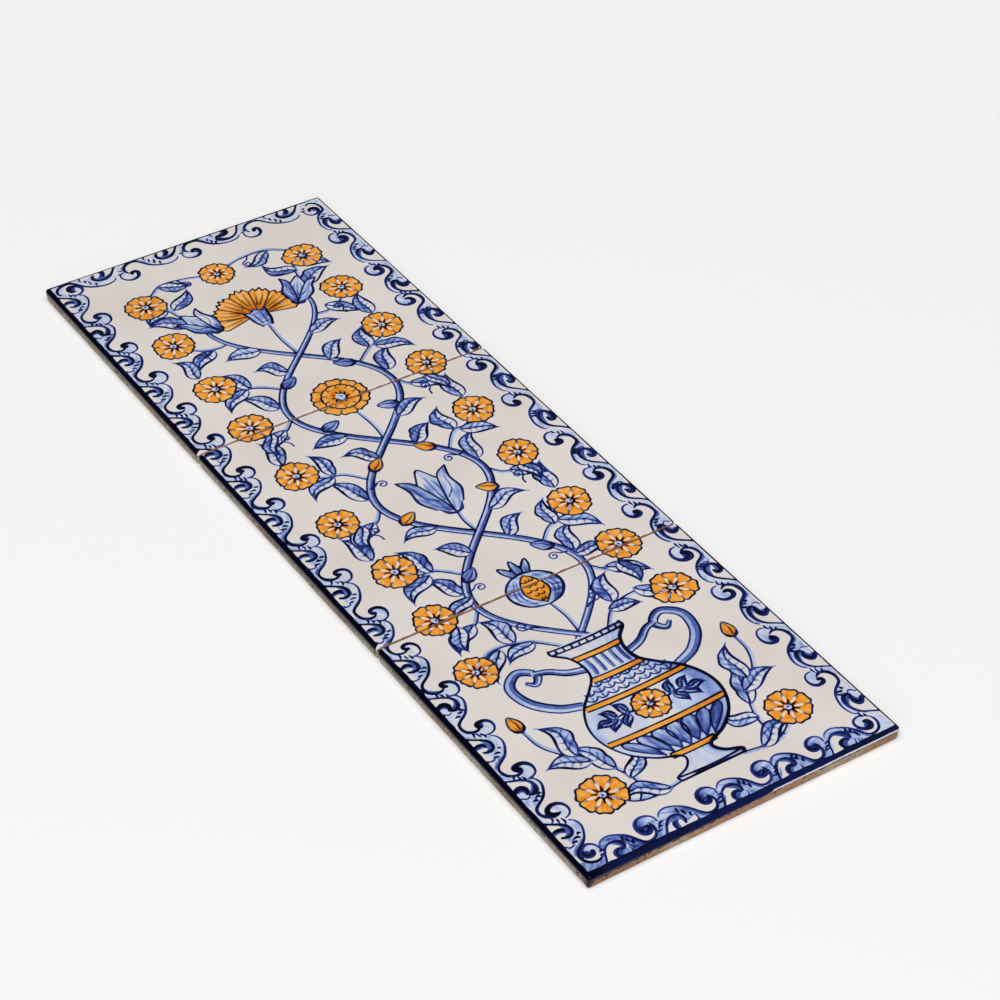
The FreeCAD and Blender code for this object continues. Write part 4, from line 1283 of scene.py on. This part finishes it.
def setStudio():
    scene = bpy.context.scene
    scene.view_settings.view_transform = "Standard"
    world = bpy.data.worlds.new("softStudio")
    scene.world = world
    world.use_nodes = True
    backdrop = world.node_tree.nodes["Background"]
    backdrop.inputs["Color"].default_value = (*linear(studio["worldColour"]), 1)
    backdrop.inputs["Strength"].default_value = studio["worldLevel"]
    bm = bmesh.new()
    bmesh.ops.create_grid(bm, x_segments=1, y_segments=1, size=studio["floorSize"] / 2,
                          matrix=Matrix.Translation((0, 0, -studio["floorGap"] * mm)))
    mesh = bpy.data.meshes.new("paleFloor")
    bm.to_mesh(mesh)
    bm.free()
    floor = bpy.data.objects.new("paleFloor", mesh)
    scene.collection.objects.link(floor)
    paper = bpy.data.materials.new("palePaper")
    paper.use_nodes = True
    skin = paper.node_tree.nodes["Principled BSDF"]
    skin.inputs["Base Color"].default_value = (*linear(studio["floor"]), 1)
    skin.inputs["Roughness"].default_value = studio["floorRoughness"]
    skin.inputs["Specular IOR Level"].default_value = 0.0
    mesh.materials.append(paper)
    floor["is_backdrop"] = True
    key = bpy.data.lights.new("overheadLight", "SUN")
    key.angle = radians(keyLight["spread"])
    key.energy = keyLight["strength"]
    fill = bpy.data.lights.new("fillLight", "AREA")
    fill.shape = "DISK"
    fill.size = fillLight["size"] * mm
    fill.energy = fillLight["power"]
    for lamp, place in ((key, keyLight["from"]), (fill, Vector(fillLight["place"]) * mm)):
        holder = bpy.data.objects.new(lamp.name, lamp)
        aim = (-Vector(place)).to_track_quat("-Z", "Y")
        holder.matrix_world = Matrix.LocRotScale(Vector(place), aim, None)
        scene.collection.objects.link(holder)


def setCamera(faceHeight):
    azimuth, elevation, roll = (radians(view[name]) for name in ("azimuth", "elevation", "roll"))
    back = Vector((sin(azimuth) * cos(elevation), -cos(azimuth) * cos(elevation), sin(elevation)))
    level = Vector((cos(azimuth), sin(azimuth), 0))
    up = back.cross(level)
    right = level * cos(roll) + up * sin(roll)
    top = up * cos(roll) - level * sin(roll)
    spot = Vector((*view["target"], faceHeight)) * mm + back * view["distance"] * mm
    lens = bpy.data.cameras.new("panelCamera")
    lens.lens = view["lens"]
    lens.sensor_width = view["sensor"]
    camera = bpy.data.objects.new("panelCamera", lens)
    camera.matrix_world = Matrix.Translation(spot) @ Matrix((right, top, back)).transposed().to_4x4()
    bpy.context.scene.collection.objects.link(camera)
    bpy.context.scene.camera = camera


tileNodes = ["tile_bottom", "tile_middle", "tile_top"]
boxes = {node: [np.array(corner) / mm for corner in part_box(node)] for node in tileNodes}
for node in tileNodes:
    low, high = boxes[node]
    lines = gridLines((high[0] - low[0]) / 2)[0]
    newCanvas(lines + (low[0] + high[0]) / 2, lines + (low[1] + high[1]) / 2)
halfWide = boxes["tile_middle"][1][0]
halfHigh = boxes["tile_top"][1][1]
drawBorder(halfWide, halfHigh)
print("border painted")
drawPicture()
print("picture painted")

tinGlaze = makeTinGlaze()
bareClay = makeBareClay(boxes["tile_middle"][0][0] * mm)
for node, canvas in zip(tileNodes, canvases):
    tile = shapeTile(node + "_painted", node, canvas, halfHigh)
    tile.data.materials.append(tinGlaze)
    tile.data.materials.append(bareClay)
    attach(tile, "root")
    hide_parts(node)
    print(tile.name, len(tile.data.polygons), "faces")

setStudio()
setCamera(boxes["tile_middle"][1][2])
print("studio set")
plain = lambda box: [[float(c) for c in corner] for corner in box]
{"cad": plain(cadBox), "visual": plain(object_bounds())}
